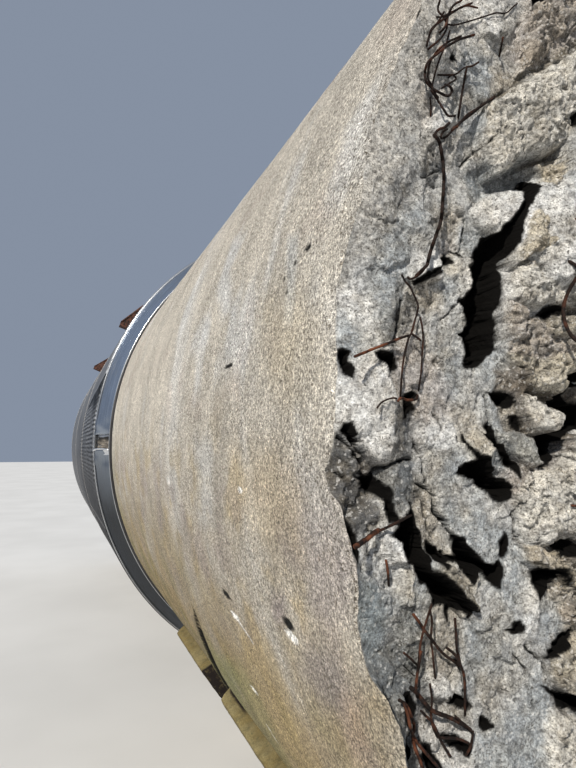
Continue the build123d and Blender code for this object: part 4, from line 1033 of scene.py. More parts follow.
# near patch: from the broken edge on
a0, a1, s1 = math.radians(-24), math.radians(33), 0.80
na, ns = 400, 132
av = np.linspace(a0, a1, na)
w = np.linspace(0, 1, ns) ** 1.5
A = np.repeat(av[:, None], ns, 1)
S = edge_station(av)[:, None] * (1 - w) + s1 * w
border = np.minimum(np.minimum((A - a0) * R, (a1 - A) * R), s1 - S)
P, t, dark = wall_patch("near", A, S, tuck=0.004 * step(0.010, 0.0, border))
ob = mesh_object("plinth_side_near", P, grid_faces(na, ns, flip=False), wall_material, colours={"Tint": t}, values={"PaintedShade": dark})

# visible side farther on
b0, b1 = math.radians(-62), math.radians(58)
na, ns = 250, 230
av = np.interp(np.linspace(0, 1, na), [0, 0.5, 1], [b0, math.radians(-24), b1])
A = np.repeat(av[:, None], ns, 1)
w = np.linspace(0, 1, ns)
start = edge_station(av) + 0.10 * step(0.0, 0.04, np.minimum(av - a0, a1 - av))
w = np.interp(np.linspace(0, 1, ns), [0, 0.26, 0.64, 1], [0, 0.348, 0.472, 1])
S = start[:, None] * (1 - w) + S_PLINTH * w
over = np.minimum(np.minimum((A - a0) * R, (a1 - A) * R), s1 - S)
border = np.minimum((A - b0) * R, (b1 - A) * R)
P, t, dark = wall_patch("left", A, S, tuck=0.020 * step(0.004, 0.03, over) + 0.004 * step(0.010, 0.0, border))
ob = mesh_object("plinth_side_left", P, grid_faces(na, ns), wall_material, colours={"Tint": t}, values={"PaintedShade": dark})

# the rest of the way round
na, ns = 250, 92
av = np.linspace(b1 - 0.012, b0 + 2 * pi + 0.012, na)
A = np.repeat(av[:, None], ns, 1)
w = np.linspace(0, 1, ns)
S = edge_station(av)[:, None] * (1 - w) + S_PLINTH * w
P, t, dark = wall_patch("round", A, S)
ob = mesh_object("plinth_side_round", P, grid_faces(na, ns), wall_material, colours={"Tint": t}, values={"PaintedShade": dark})
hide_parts("plinth_body")


# ------------------------------------- bars and tying wires out of the break
rust_material = make_rust_material()
WIRES = [  # line in the frame, radius mm, stand-off mm, freshness of the rust, cut end stands out by mm
    ([(472, 3), (458, 9), (445, 18), (436, 25), (430, 33), (428, 44)], 1.5, 6, 0.25, 12),
    ([(444, 12), (438, 22), (431, 30), (428, 40), (426, 50)], 1.4, 5, 0.1, 8),
    ([(440, 0), (438, 10), (444, 18), (447, 27), (441, 38), (432, 46), (425, 52)], 1.4, 8, 0.2, 6),
    ([(462, 0), (453, 6), (448, 16), (445, 27), (436, 36)], 1.6, 9, 0.4, 10),
    ([(478, 8), (466, 6), (452, 12), (441, 17), (433, 16)], 1.2, 7, 0.3, 10),
    ([(446, 24), (455, 25), (470, 21), (486, 16), (496, 13), (506, 13), (513, 7), (520, 1)], 1.1, 2, 0.05, 0),
    ([(474, 35), (467, 37), (458, 40), (446, 47), (436, 55), (428, 62), (425, 72), (426, 81), (432, 88), (440, 93), (448, 96), (452, 91), (449, 86), (442, 84)], 1.7, 8, 0.35, 14),
    ([(461, 36), (450, 41), (440, 48), (433, 57), (429, 66), (428, 78), (432, 86), (436, 95), (440, 99)], 1.4, 5, 0.5, 6),
    ([(450, 30), (446, 44), (440, 58), (436, 70), (433, 82), (432, 92)], 1.2, 7, 0.2, 5),
    ([(442, 88), (450, 83), (456, 79), (452, 75), (446, 80)], 1.3, 9, 0.3, 5),
    ([(479, 62), (472, 66), (464, 68), (456, 74), (446, 75), (434, 75)], 1.3, 6, 0.1, 10),
    ([(467, 66), (464, 82), (461, 100), (457, 126)], 1.6, 10, 0.45, 18),
    ([(503, 37), (501, 48), (498, 62)], 1.5, 8, 0.35, 12),
    ([(431, 90), (437, 99), (444, 110), (449, 116), (458, 115)], 1.5, 6, 0.2, 6),
    ([(430, 97), (431, 108), (430, 120)], 1.2, 4, 0.3, 6),
    ([(452, 130), (462, 121), (474, 112), (484, 104), (499, 94)], 1.9, 7, 0.35, 16),
    ([(457, 127), (466, 116), (478, 108), (489, 101), (497, 95)], 1.6, 12, 0.5, 12),
    ([(434, 136), (438, 130), (445, 127), (451, 121)], 1.9, 8, 0.25, 10),
    ([(452, 131), (446, 137), (441, 138), (443, 132), (449, 128)], 1.4, 9, 0.3, 5),
    ([(434, 135), (439, 141), (441, 150), (443, 163), (443.8, 176), (443.4, 190), (442.6, 202), (442, 212), (440.5, 223), (437.5, 231), (434.5, 240), (431, 250), (428.5, 259), (427, 265), (421, 271), (414, 278)], 2.3, 11, 0.12, 0),
    ([(426, 266), (421, 273), (411, 279), (406, 275)], 1.5, 5, 0.1, 5),
    ([(402, 275), (405, 281), (410, 287), (413, 293), (417, 302), (418, 309), (415, 320), (412, 331), (408, 340), (406, 348), (403.5, 360), (402, 373), (401, 387), (400, 401)], 1.3, 5, 0.3, 5),
    ([(354.6, 356.5), (372, 349.5), (391, 342), (402, 337.5), (412.7, 334.5)], 1.7, 9, 1.0, 20),
    ([(412, 334), (418, 338), (422, 342)], 1.5, 6, 0.8, 4),
    ([(420, 317), (422.5, 329), (423, 341), (422, 357), (421, 373), (419.5, 384), (418, 394)], 1.2, 4, 0.25, 5),
    ([(398, 401), (401, 398), (408, 400), (416, 399), (418, 394)], 1.6, 6, 0.7, 4),
    ([(377, 408), (381, 403), (386, 400), (393, 398), (399, 399)], 1.1, 4, 0.1, 8),
    ([(355, 547), (366, 539.5), (374, 533), (381, 529)], 3.0, 10, 0.9, 16),
    ([(379, 531), (390, 526), (402, 520), (413, 514)], 1.7, 8, 0.15, 0),
    ([(386, 560), (388, 573), (389, 592)], 1.6, 4, 0.7, 3),
    ([(413, 614), (419, 622), (425, 631), (432, 640), (439, 649), (446, 656), (458, 664)], 1.8, 8, 0.6, 10),
    ([(432, 604), (428, 616), (424, 629), (421, 641), (419.5, 652), (418, 669)], 1.4, 6, 0.3, 5),
    ([(430, 609), (432, 622), (431, 637), (432.5, 652), (434, 667), (436, 684)], 1.3, 9, 0.25, 5),
    ([(455, 618), (456, 634), (457, 650), (460, 663), (464, 676), (465, 699), (465, 724)], 1.6, 7, 0.4, 8),
    ([(447, 648), (456, 656), (459, 666), (456, 660)], 1.7, 7, 0.8, 5),
    ([(404, 653), (411, 659), (421, 669)], 1.4, 6, 0.3, 8),
    ([(421, 651), (419, 664), (417, 676), (416, 690), (418, 700)], 1.7, 5, 0.6, 6),
    ([(410, 687), (416, 692), (423, 701), (430, 709), (440, 714), (451, 718), (462, 724), (473, 732)], 2.6, 9, 0.55, 18),
    ([(399, 700), (405, 704), (410, 713), (414, 725), (413, 737), (415, 748), (419, 758), (424, 772)], 2.0, 7, 0.75, 10),
    ([(404, 703), (408, 716), (411, 730), (417, 742), (425, 752), (436, 765), (444, 776)], 1.8, 11, 0.65, 8),
    ([(421, 711), (427, 717), (432, 722), (437, 731), (441, 741), (447, 751), (453, 760)], 1.6, 9, 0.4, 8),
    ([(430, 684), (432, 700), (431, 716), (434, 730), (441, 744)], 1.4, 6, 0.35, 5),
    ([(441, 738), (449, 738), (458, 739), (466, 742), (472, 746)], 1.6, 7, 0.3, 10),
    ([(473, 731), (472, 740), (470, 748), (464, 758)], 1.5, 9, 0.3, 8),
    ([(455, 716), (462, 722), (470, 729), (474, 737)], 1.3, 12, 0.8, 6),
]


def blur(w, k):
    for _ in range(k):
        w = np.concatenate([w[:1], (w[:-2] + 2 * w[1:-1] + w[2:]) / 4, w[-1:]])
    return w


def lay_wires():
    """Lays each line on the break: hugging its high spots, bridging its holes."""
    frames, meta = [], []
    for k, (pts, r, off, fresh, out) in enumerate(WIRES):
        p = smooth_path([(u, v) for u, v in pts], 7)
        frames.append(p)
        meta.append((k, r / 1000.0, off / 1000.0, fresh, out / 1000.0))
    uv = np.vstack(frames)
    s = np.full(len(uv), -0.02)
    cuts = np.cumsum([0] + [len(f) for f in frames])
    for _ in range(4):
        d = FORWARD[None] + RIGHT[None] * ((uv[:, :1] - 288.0) / FOCAL) - UP[None] * ((uv[:, 1:] - 384.0) / FOCAL)
        t = (s + Y0 - EYE[1]) / d[:, 1]
        x, z = EYE[0] + t * d[:, 0], EYE[2] + t * d[:, 2] - AXIS
        depth = surface(x, z, STEP)[0]
        new = s.copy()
        for a, b, (k, r, off, fresh, out) in zip(cuts[:-1], cuts[1:], meta):
            w = np.clip(depth[a:b], -0.06, 0.002)
            low = np.minimum(w, np.minimum(np.concatenate([w[1:], w[-1:]]), np.concatenate([w[:1], w[:-1]])))
            wave = 0.35 * off * np.sin(np.arange(b - a) * 0.55 + k)
            line = blur(low, 6) - r - off - wave
            e = np.arange(b - a)
            line = line - out * np.exp(-(e / 5.0) ** 2)
            line = line + (off + 0.012) * np.exp(-(((b - a) - 1 - e) / 3.0) ** 2)
            new[a:b] = np.maximum(line, -0.088)
        s = 0.5 * s + 0.5 * new if _ < 3 else new
    P = np.stack([x, s + Y0, z + AXIS], -1)
    # line of sight again, so that the frame position holds after the last move
    t = (s + Y0 - EYE[1]) / d[:, 1]
    P = EYE[None] + t[:, None] * d
    return [(P[a:b], m) for a, b, m in zip(cuts[:-1], cuts[1:], meta)]


def wire_set(name, lines, node=None):
    parts, fresh = [], []
    for P, (k, r, off, f, out) in lines:
        n = len(P)
        thick = r * (1 + 0.10 * perlin(np.arange(n) * 0.35, k * 3.7, 0.5))
        v, q = tube(P, thick, sides=8, rough=0.16, seed=40 + k)
        v = v + 0.00018 * np.stack([perlin(v[:, 0] * 900, v[:, 1] * 900, v[:, 2] * 900 + j) for j in (0, 31, 62)], -1)
        parts.append((v, q))
        fresh.append(np.full(len(v), f))
    v, q = join_parts(parts)
    ob = poly_object(name, v, q, rust_material, values={"Fresh": np.concatenate(fresh)})
    if node:
        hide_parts(node)
    return ob


laid = lay_wires()
wire_set("tying_wires_near", laid, "tie_wires")

# bars and wires round the rest of the rim, cut and bent over in the same way
r_ = np.random.RandomState(23)
others = []
tips = [(-1.150, 0.700), (0.46, 1.15), (1.19, 0.42), (1.20, -0.36), (0.62, -1.06), (-0.38, -1.19), (-0.43, 1.18)]
for k in range(30):
    if k < len(tips):
        x0, z0 = tips[k]
        reach = 0.070
    else:
        a = math.radians(125 + 290 * (k - len(tips)) / 23.0 + 5 * r_.rand())
        q = 1.16 + 0.16 * r_.rand()
        x0, z0 = q * cos(a + pi), q * sin(a)
        x0 = -q * cos(a)
        reach = 0.02 + 0.03 * r_.rand()
    turn = r_.rand() * 2 * pi
    n = 5 + int(4 * r_.rand())
    line = [(x0, z0)]
    for i in range(n):
        turn += 0.9 * (r_.rand() - 0.5)
        l = 0.022 + 0.022 * r_.rand()
        line.append((line[-1][0] + l * cos(turn), line[-1][1] + l * sin(turn)))
    line = smooth_path(line, 5)
    if (np.hypot(line[:, 0], line[:, 1]) > R - 0.03).any() or ((line[:, 0] < -0.98) & (line[:, 1] > -0.55) & (line[:, 1] < 0.76)).any():
        line = line * (1.14 / np.hypot(line[:, 0], line[:, 1]).max()) if k >= len(tips) else line
    depth = surface(line[:, 0], line[:, 1], 0.012)[0]
    w = blur(np.minimum(np.clip(depth, -0.06, 0.0), np.roll(np.clip(depth, -0.06, 0.0), 1)), 5)
    rr_ = [0.0014, 0.0016, 0.0025, 0.0035][k % 4]
    e = np.arange(len(line))
    s = w - rr_ - 0.007 - reach * np.exp(-(e / 6.0) ** 2) + 0.025 * np.exp(-((len(line) - 1 - e) / 3.0) ** 2)
    s = np.maximum(s, -0.094)
    others.append((np.stack([line[:, 0], s + Y0, line[:, 1] + AXIS], -1), (100 + k, rr_, 0.006, 0.2 + 0.7 * r_.rand(), 0.0)))
wire_set("tying_wires_round", others)


# -------------------------------------- remains of an outer layer, low down
def make_patch_material():
    m = Shade("ochre_layer", Roughness=0.95)
    m.bsdf.inputs["Specular IOR Level"].default_value = 0.2
    grain, mid, big = m.noise(260, 4, 0.7), m.noise(60, 4, 0.65), m.noise(11, 3, 0.6)
    edge = m.attribute("ShadedEdge")
    c = m.mix(m.span(big, 0.35, 0.65), (0.178, 0.136, 0.054), (0.228, 0.188, 0.092))
    c = m.mix(m.math("MULTIPLY", m.span(mid, 0.52, 0.70), 0.6), c, (0.105, 0.100, 0.050))
    c = m.mix(1.0, c, m.grey(m.span(grain, 0.3, 0.7, 0.62, 1.34, False)), "MULTIPLY")
    # painted shade on the shaded flank and edges of the slabs, in the notch and along the crack
    c = m.mix(m.math("MULTIPLY", edge, m.span(mid, 0.2, 0.5, 0.45, 1.0)), c, (0.010, 0.007, 0.006))
    h = m.math("ADD", m.math("MULTIPLY", grain, 0.6), mid)
    return m.done(c, normal=m.bump(h, 1.0, 0.0040))


patch_material = make_patch_material()


def outer_layer(name, side, node):
    """Two slabs of the layer, 45 mm thick, with torn edges."""
    parts, edges = [], []
    for k, (s_a, s_b) in enumerate(((0.300, 1.215), (1.416, 1.900))):
        m, n = (60, int((s_b - s_a) / 0.0095)) if side < 0 else (44, int((s_b - s_a) / 0.014))
        # w runs over a whole cross-section: foot, flank, top, flank, foot
        w = np.linspace(0, 1, m)
        lo, hi = math.radians(-58.0), math.radians(-33.5)
        x = np.linspace(0, 1, n)
        W, X_ = np.meshgrid(w, x, indexing="ij")
        flank = 0.16
        top = np.clip((W - flank) / (1 - 2 * flank), 0, 1)
        lift = np.clip(np.minimum(W, 1 - W) / flank, 0, 1)
        seed = 7.7 * k + (30 if side > 0 else 0)
        tear = (0.030 if side < 0 else 0.048) * fbm(X_ * (s_b - s_a), lift * 0.02, seed, 9, 4)
        a_lo = lo + np.abs(tear) * 0.9
        a_hi = hi - np.abs(tear + 0.006 * perlin(X_ * 40, lift * 3, seed)) * (0.30 + 0.2 * (1 - lift))
        A = a_lo * (1 - top) + a_hi * top
        S = s_a + (s_b - s_a) * X_
        end = np.minimum(X_, 1 - X_) * (s_b - s_a)
        rise = np.clip(end / 0.020, 0, 1) ** 0.6
        r = R - 0.006 + (0.049 * lift ** 0.7) * rise
        r = r - lift * rise * (0.0055 * np.abs(fbm(A * R, S, seed, 22, 4)) + 0.0018 * fbm(A * R, S, seed, 90, 2))
        S = S + (0.010 * fbm(A * R, lift, seed + 3, 14, 3)) * step(0.06, 0.0, end) * np.sign(0.5 - X_) * -1
        x3, z3 = side * np.cos(A) * r, np.sin(A) * r
        V = np.stack([x3, S + Y0, z3 + AXIS], -1)
        f = grid_faces(m, n, flip=(side > 0))
        parts.append((V.reshape(-1, 3), [tuple(q) for q in f]))
        # painted shade in a notch at the start of the far slab
        notch = (step(0.034, 0.022, X_ * (s_b - s_a)) if k else np.zeros_like(X_)) * 1.0
        weak = 1.0 if side < 0 else 0.35
        # the crack in the side runs on between the far end of the near slab and the plinth, painted as a dark line of
        # shadow
        open_ = step(0.98, 1.08, S) * step(0.962, 0.982, W) * (side < 0) * (k == 0)
        # painted shade along one side's upper edge and flank
        seam = step(0.80, 1.0, lift) * step(0.86, 0.97, top) * 0.40 + step(0.9, 0.2, lift) * 0.30 * (top > 0.5)
        edges.append(np.maximum(np.maximum(notch, open_), weak * seam).ravel())
    v, f = join_parts(parts)
    ob = poly_object(name, v, f, patch_material, values={"ShadedEdge": np.clip(np.concatenate(edges), 0, 1)})
    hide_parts(node)
    return ob


outer_layer("outer_layer_left", -1, "skin_patches_left")
outer_layer("outer_layer_right", 1, "skin_patches_right")


# -------------------------------------------------------------------- steel
def round_axis(m):
    """Coordinates round the tank's axis: hoop length, y and radius."""
    n = m.tree.nodes.new("ShaderNodeSeparateXYZ")
    m.put(n.inputs[0], m.coord)
    up = m.math("SUBTRACT", n.outputs[2], AXIS)
    turn = m.math("ARCTAN2", n.outputs[0], up)
    hoop = m.math("MULTIPLY", turn, 1.5)
    rad = m.math("SQRT", m.math("ADD", m.math("MULTIPLY", n.outputs[0], n.outputs[0]), m.math("MULTIPLY", up, up)))
    c = m.tree.nodes.new("ShaderNodeCombineXYZ")
    m.put(c.inputs[0], hoop)
    m.put(c.inputs[1], n.outputs[1])
    m.put(c.inputs[2], rad)
    return c.outputs[0]


def make_steel(name, base, other, rough=(0.25, 0.42), streak=0.12, wave=0.0, ripple=0.0, dirt=0.25, stain=(0.075, 0.060, 0.045), pitch=(2.2, 210.0), grime_and_dark_reflection=None, glancing=(1.0, 1.0, 1.0)):
    m = Shade(name, Metallic=1.0)
    m.bsdf.inputs["Specular Tint"].default_value = (*glancing, 1.0)
    v = round_axis(m)
    lines = m.noise(1.0, 3, 0.6, vector=m.stretch(pitch[0], pitch[1], 30.0, v))
    clouds = m.noise(2.6, 5, 0.62)
    fine = m.noise(95, 4, 0.65)
    runs = m.noise(1.0, 5, 0.64, vector=m.stretch(26.0, 26.0, 1.3))
    c = m.mix(m.span(clouds, 0.36, 0.64), base, other)
    c = m.mix(1.0, c, m.grey(m.span(lines, 0.3, 0.7, 1 - streak, 1 + streak, False)), "MULTIPLY")
    if grime_and_dark_reflection:
        # painted dark reflection with some grime, darker towards the lower half, on the left and near the rim
        z = m.tree.nodes.new("ShaderNodeSeparateXYZ")
        m.put(z.inputs[0], m.coord)
        height = m.math("ADD", z.outputs[2], m.math("MULTIPLY", clouds, 0.5))
        side = m.math("MULTIPLY", m.span(z.outputs[0], 0.5, -0.3, 0.35, 1.0), m.span(m.math("ADD", z.outputs[1], m.math("MULTIPLY", clouds, 2.6)), 4.3, 0.9, 0.40, 1.0))
        c = m.mix(m.math("MULTIPLY", m.span(height, grime_and_dark_reflection[1], grime_and_dark_reflection[0]), side), c, grime_and_dark_reflection[2])
    k = m.math("MULTIPLY", m.span(runs, 0.50, 0.74), m.span(fine, 0.25, 0.65, 0.35, 1.0))
    k = m.math("MULTIPLY", k, m.span(clouds, 0.34, 0.60, 0.35, 1.0))
    c = m.mix(m.math("MULTIPLY", k, dirt), c, stain)
    r = m.math("ADD", m.span(clouds, 0.3, 0.7, rough[0], rough[1], False), m.span(lines, 0.3, 0.7, -0.05, 0.05, False))
    r = m.math("ADD", r, m.math("MULTIPLY", k, 0.25), True)
    h = m.math("MULTIPLY", lines, 0.03)
    h = m.math("ADD", h, m.math("MULTIPLY", fine, 0.02))
    if wave:
        h = m.math("ADD", h, m.math("MULTIPLY", m.noise(1.0, 2, 0.5, vector=m.stretch(5.5, 6.0, 1.0, v) if name == "band_steel" else m.stretch(2.4, 3.2, 1.0, v)), wave))
    if ripple:
        # painted shade: a dark crease just behind the rim, on the upper left, with a painted highlight along it
        along = m.tree.nodes.new("ShaderNodeSeparateXYZ")
        m.put(along.inputs[0], v)
        bend_ = m.noise(1.0, 3, 0.6, vector=m.stretch(9.0, 7.0, 1.0, v))
        # hoop distance above a line that falls slowly away from the rim
        line = m.math("MULTIPLY", m.math("ADD", along.outputs[1], 0.95), -0.10)
        edge = m.math("SUBTRACT", m.math("ADD", along.outputs[0], 1.937), line)
        edge = m.math("ADD", edge, m.math("MULTIPLY", m.math("SUBTRACT", bend_, 0.5), 0.05))
        taper = m.span(along.outputs[1], 0.26, -0.70, 5.0, 1.0, False)
        ragged = m.math("ADD", along.outputs[1], m.math("MULTIPLY", m.math("SUBTRACT", m.noise(1.0, 3, 0.6, vector=m.stretch(18.0, 4.0, 1.0, v)), 0.5), 0.60))
        ends = m.math("MULTIPLY", m.span(ragged, 0.26, -0.16), m.span(m.math("MULTIPLY", edge, taper), -0.30, -0.12))
        torn = m.span(m.noise(1.0, 4, 0.6, vector=m.stretch(22.0, 10.0, 1.0, v)), 0.36, 0.60, 0.62, 1.0)
        # painted shade in the crease
        c = m.mix(m.math("MULTIPLY", m.math("MULTIPLY", m.span(edge, 0.0, -0.014), ends), torn), c, (0.026, 0.030, 0.033))
        # painted highlight along the crease's edge
        c = m.mix(m.math("MULTIPLY", m.math("MULTIPLY", m.span(edge, -0.010, 0.0), m.span(edge, 0.026, 0.014)), m.math("MULTIPLY", ends, 0.85)), c, (0.72, 0.74, 0.76))
        # painted reflection: light and dark bands of short ripples along the sheet, round nine o'clock
        sway = m.noise(1.0, 3, 0.55, vector=m.stretch(11.0, 9.0, 1.0, v))
        rib = m.math("SINE", m.math("ADD", m.math("MULTIPLY", along.outputs[0], 225.0), m.math("MULTIPLY", sway, 5.0)))
        rib = m.math("MULTIPLY", rib, m.span(m.noise(1.0, 2, 0.5, vector=m.stretch(16.0, 14.0, 1.0, v)), 0.36, 0.58))
        there = m.math("MULTIPLY", m.span(along.outputs[1], 0.95, 0.45), m.math("MULTIPLY", m.span(along.outputs[0], -2.75, -2.55), m.span(along.outputs[0], -1.98, -2.10)))
        c = m.mix(there, c, m.mix(1.0, c, m.grey(m.span(rib, -1.0, 1.0, 0.20, 1.70, False)), "MULTIPLY"))
        tick = m.noise(1.0, 2, 0.5, vector=m.stretch(55.0, 5.0, 1.0, v), distort=0.4)
        where = m.span(m.noise(1.0, 2, 0.5, vector=m.stretch(0.8, 1.1, 1.0, v)), 0.38, 0.56)
        h = m.math("ADD", h, m.math("MULTIPLY", m.math("MULTIPLY", tick, where), ripple))
    return m.done(c, r, m.bump(h, 1.0, 0.012))


def make_weld():
    m = Shade("weld_bead", Metallic=1.0)
    a, b = m.noise(210, 3, 0.6), m.noise(20, 3, 0.6)
    c = m.mix(m.span(b, 0.35, 0.65), (0.30, 0.30, 0.30), (0.38, 0.36, 0.34))
    c = m.mix(m.math("MULTIPLY", m.span(a, 0.55, 0.75), 0.5), c, (0.10, 0.075, 0.06))
    return m.done(c, m.span(a, 0.3, 0.7, 0.52, 0.70, False), m.bump(a, 0.5, 0.0010))


# the band's blue cast is a painted reflection of the sky
band_material = make_steel("band_steel", (0.60, 0.66, 0.74), (0.42, 0.47, 0.54), rough=(0.24, 0.38), streak=0.12, wave=0.55, dirt=0.35, grime_and_dark_reflection=(1.32, 2.25, (0.070, 0.073, 0.076)), glancing=(0.6, 0.62, 0.66))
# bright steel of the arrises: a painted highlight
glint_material = make_steel("edge_steel", (0.66, 0.67, 0.68), (0.50, 0.51, 0.53), rough=(0.22, 0.34), streak=0.10, dirt=0.35)
shell_material = make_steel("shell_steel", (0.600, 0.612, 0.630), (0.520, 0.532, 0.552), rough=(0.33, 0.41), streak=0.09, wave=0.30, ripple=0.34, dirt=0.20, grime_and_dark_reflection=(1.25, 2.30, (0.085, 0.088, 0.094)), glancing=(0.13, 0.135, 0.15))
head_material = make_steel("head_steel", (0.560, 0.570, 0.588), (0.480, 0.490, 0.508), rough=(0.32, 0.42), streak=0.08, wave=0.20, dirt=0.25, pitch=(5.0, 40.0))
fitting_material = make_steel("fitting_steel", (0.46, 0.465, 0.47), (0.35, 0.355, 0.362), rough=(0.30, 0.46), streak=0.06, dirt=0.45)
weld_material = make_weld()


def ring(name, profile, material, nodes=(), a0=None, a1=None, steps=384, bend=None):
    """A profile of (radius, station) turned round the axis; open at a0..a1."""
    prof = np.array(profile, float)
    m = len(prof)
    whole = a0 is None
    av = np.arange(steps) * 2 * pi / steps if whole else np.linspace(a0, a1, steps)
    r = np.repeat(prof[None, :, 0], steps, 0)
    s = np.repeat(prof[None, :, 1], steps, 0)
    A = np.repeat(av[:, None], m, 1)
    if bend is not None:
        r, s, A = bend(r, s, A)
    V = np.stack([-np.cos(A) * r, s + Y0, np.sin(A) * r + AXIS], -1).reshape(-1, 3)
    f = []
    for i in range(steps if whole else steps - 1):
        for j in range(m):
            a, b = i * m + j, i * m + (j + 1) % m
            c, d = ((i + 1) % steps) * m + (j + 1) % m, ((i + 1) % steps) * m + j
            f.append((a, b, c, d))
    if not whole:
        f.append(tuple(range(m))[::-1])
        f.append(tuple((steps - 1) * m + j for j in range(m)))
    ob = poly_object(name, V, f, material)
    ob.data.polygons.foreach_set("use_smooth", np.array([len(q) == 4 for q in f]))
    if nodes:
        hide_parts(*nodes)
    return ob


def rounded(points, radius, n=3):
    """Rounds the corners of a closed profile."""
    p = np.array(points, float)
    out = []
    for i in range(len(p)):
        a, b, c = p[i - 1], p[i], p[(i + 1) % len(p)]
        u, w = (a - b) / np.linalg.norm(a - b), (c - b) / np.linalg.norm(c - b)
        k = min(radius, 0.45 * np.linalg.norm(a - b), 0.45 * np.linalg.norm(c - b))
        for t in np.linspace(0, 1, n):
            out.append(b + u * k * (1 - t) ** 2 + w * k * t ** 2)
    return out


def dented(amount, seed, f=1.6):
    def bend(r, s, A):
        x, z = np.cos(A), np.sin(A)
        return r + amount * fbm(x, z, s + seed, f, 3), s + 0.7 * amount * fbm(x, z, s + seed + 9, f * 1.3, 3), A
    return bend


rim_material = make_steel("rim_steel", (0.230, 0.240, 0.255), (0.150, 0.160, 0.175), rough=(0.26, 0.40), streak=0.10, dirt=0.45)
shaded_lip_material = make_steel("shaded_lip_steel", (0.090, 0.090, 0.092), (0.055, 0.054, 0.055), rough=(0.40, 0.55), streak=0.06, dirt=0.5)
# lip: a flat bar on edge, round the end of the plinth; the bar is painted dark as shade and its outer arris bright as a
# painted highlight
ring("lip_bar", rounded([(1.412, 2.868), (1.4425, 2.868), (1.4425, 2.881), (1.412, 2.881)], 0.004), shaded_lip_material, ["lip_ring"], bend=dented(0.0011, 3.0, 3.0))
ring("lip_arris", [(1.4424 + 0.0026 * cos(q), 2.8745 + 0.0042 * sin(q)) for q in np.linspace(0, 2 * pi, 7)[:-1]], glint_material, bend=dented(0.0011, 3.0, 3.0))


def band_bend(low_end):
    """The sheet flares and buckles where its end stands open at nine o'clock."""
    def bend(r, s, A):
        x, z = np.cos(A), np.sin(A)
        r = r + 0.0016 * fbm(x, z, s + 5, 2.4, 3)
        off = np.abs(A - low_end)
        mid = np.clip((s - 2.882) / 0.152, 0, 1)
        near = np.exp(-(off / 0.020) ** 1.3)
        r = r + near * (0.010 * np.sin(mid * pi) * (1.0 if low_end > pi else -0.7) + 0.006 * (mid - 0.5)) * 1.2
        r = r + np.exp(-((off - 0.045) / 0.022) ** 2) * -0.006 * np.sin(mid * pi * 1.5 + 0.5)
        s = s + near * 0.004 * np.sin(mid * 5.0)
        # torn, uneven end
        A = A + np.exp(-(off / 0.004) ** 2) * (0.0022 * np.sin(mid * 9 + 1) + 0.0016 * np.sin(mid * 23)) * (1 if low_end < pi else -1)
        return r, s, A
    return bend


def sheet_profile(t=0.006, n=10):
    """Closed profile of the sloping sheet, slightly bowed."""
    w = np.linspace(0, 1, n)
    outer = [(1.4395 + (1.5125 - 1.4395) * q + 0.0018 * sin(pi * q), 2.8815 + (3.0335 - 2.8815) * q) for q in w]
    inner = [(a - t, b + 0.001) for a, b in outer][::-1]
    return outer + inner


ring("band_sheet_upper", sheet_profile(), band_material, ["band_upper"], math.radians(1.75), math.radians(179.85), 420, band_bend(math.radians(1.75)))
ring("band_sheet_lower", sheet_profile(), band_material, ["band_lower"], math.radians(180.05), math.radians(358.25), 420, band_bend(math.radians(358.25)))

# rim: rolled edge between the band and the shell
ring("rolled_rim", rounded([(1.500, 3.033), (1.5150, 3.030), (1.5185, 3.038), (1.5175, 3.046), (1.5175, 3.061), (1.500, 3.061)], 0.004), rim_material, ["rim_ring"], bend=dented(0.0009, 8.0, 2.5))
# the rim's outer arris, bright as a painted highlight
ring("rim_arris", [(1.5160 + 0.0028 * cos(q), 3.0352 + 0.0048 * sin(q)) for q in np.linspace(0, 2 * pi, 7)[:-1]], glint_material, bend=dented(0.0009, 8.0, 2.5))


def make_crust():
    m = Shade("joint_crust", Roughness=0.95)
    a, b = m.noise(140, 4, 0.7), m.noise(30, 3, 0.6)
    c = m.mix(m.span(b, 0.35, 0.6), (0.090, 0.080, 0.068), (0.200, 0.175, 0.145))
    c = m.mix(m.math("MULTIPLY", m.span(a, 0.52, 0.62), 0.8), c, (0.030, 0.022, 0.016))
    # painted shade: black where the joint lies in shadow
    c = m.mix(m.attribute("PaintedShade"), c, (0.004, 0.0035, 0.003))
    return m.done(c, normal=m.bump(a, 1.0, 0.004))


crust_material = make_crust()
# crust of mortar and rust that shows in the open joint; its upper part and patches toward the far end are painted black
# as shade
av, sv = np.linspace(math.radians(-3.0), math.radians(2.6), 60), np.linspace(2.8825, 3.0325, 60)
A, S = np.meshgrid(av, sv, indexing="ij")
mid = (S - 2.882) / 0.152
r = 1.4395 + 0.073 * mid - 0.016 + 0.010 * fbm(A * 8, S, 3.0, 18, 4) - 0.022 * step(math.radians(0.7), math.radians(2.0), A)
V = np.stack([-np.cos(A) * r, S + Y0, np.sin(A) * r + AXIS], -1)
joint_shade = np.maximum(step(math.radians(-0.1), math.radians(0.8), A + 0.012 * fbm(A * 8, S, 8.0, 14, 3)), 0.85 * step(0.55, 0.85, mid) * step(-0.2, 0.3, fbm(A * 8, S, 5.0, 12, 3)))
ob = mesh_object("joint_crust", V, grid_faces(60, 60), crust_material, values={"PaintedShade": joint_shade.ravel()})


def bead(path, r, seed=0):
    """A weld bead along a path, with its ripples."""
    p = np.asarray(path, float)
    n = len(p)
    e = np.arange(n)
    k = r * (1 + 0.12 * np.sin(e * 2.1 + 0.5 * np.sin(e * 0.31)) + 0.14 * perlin(e * 0.23, seed, 0.3))
    return tube(p, k, sides=6, rough=0.0, seed=seed)


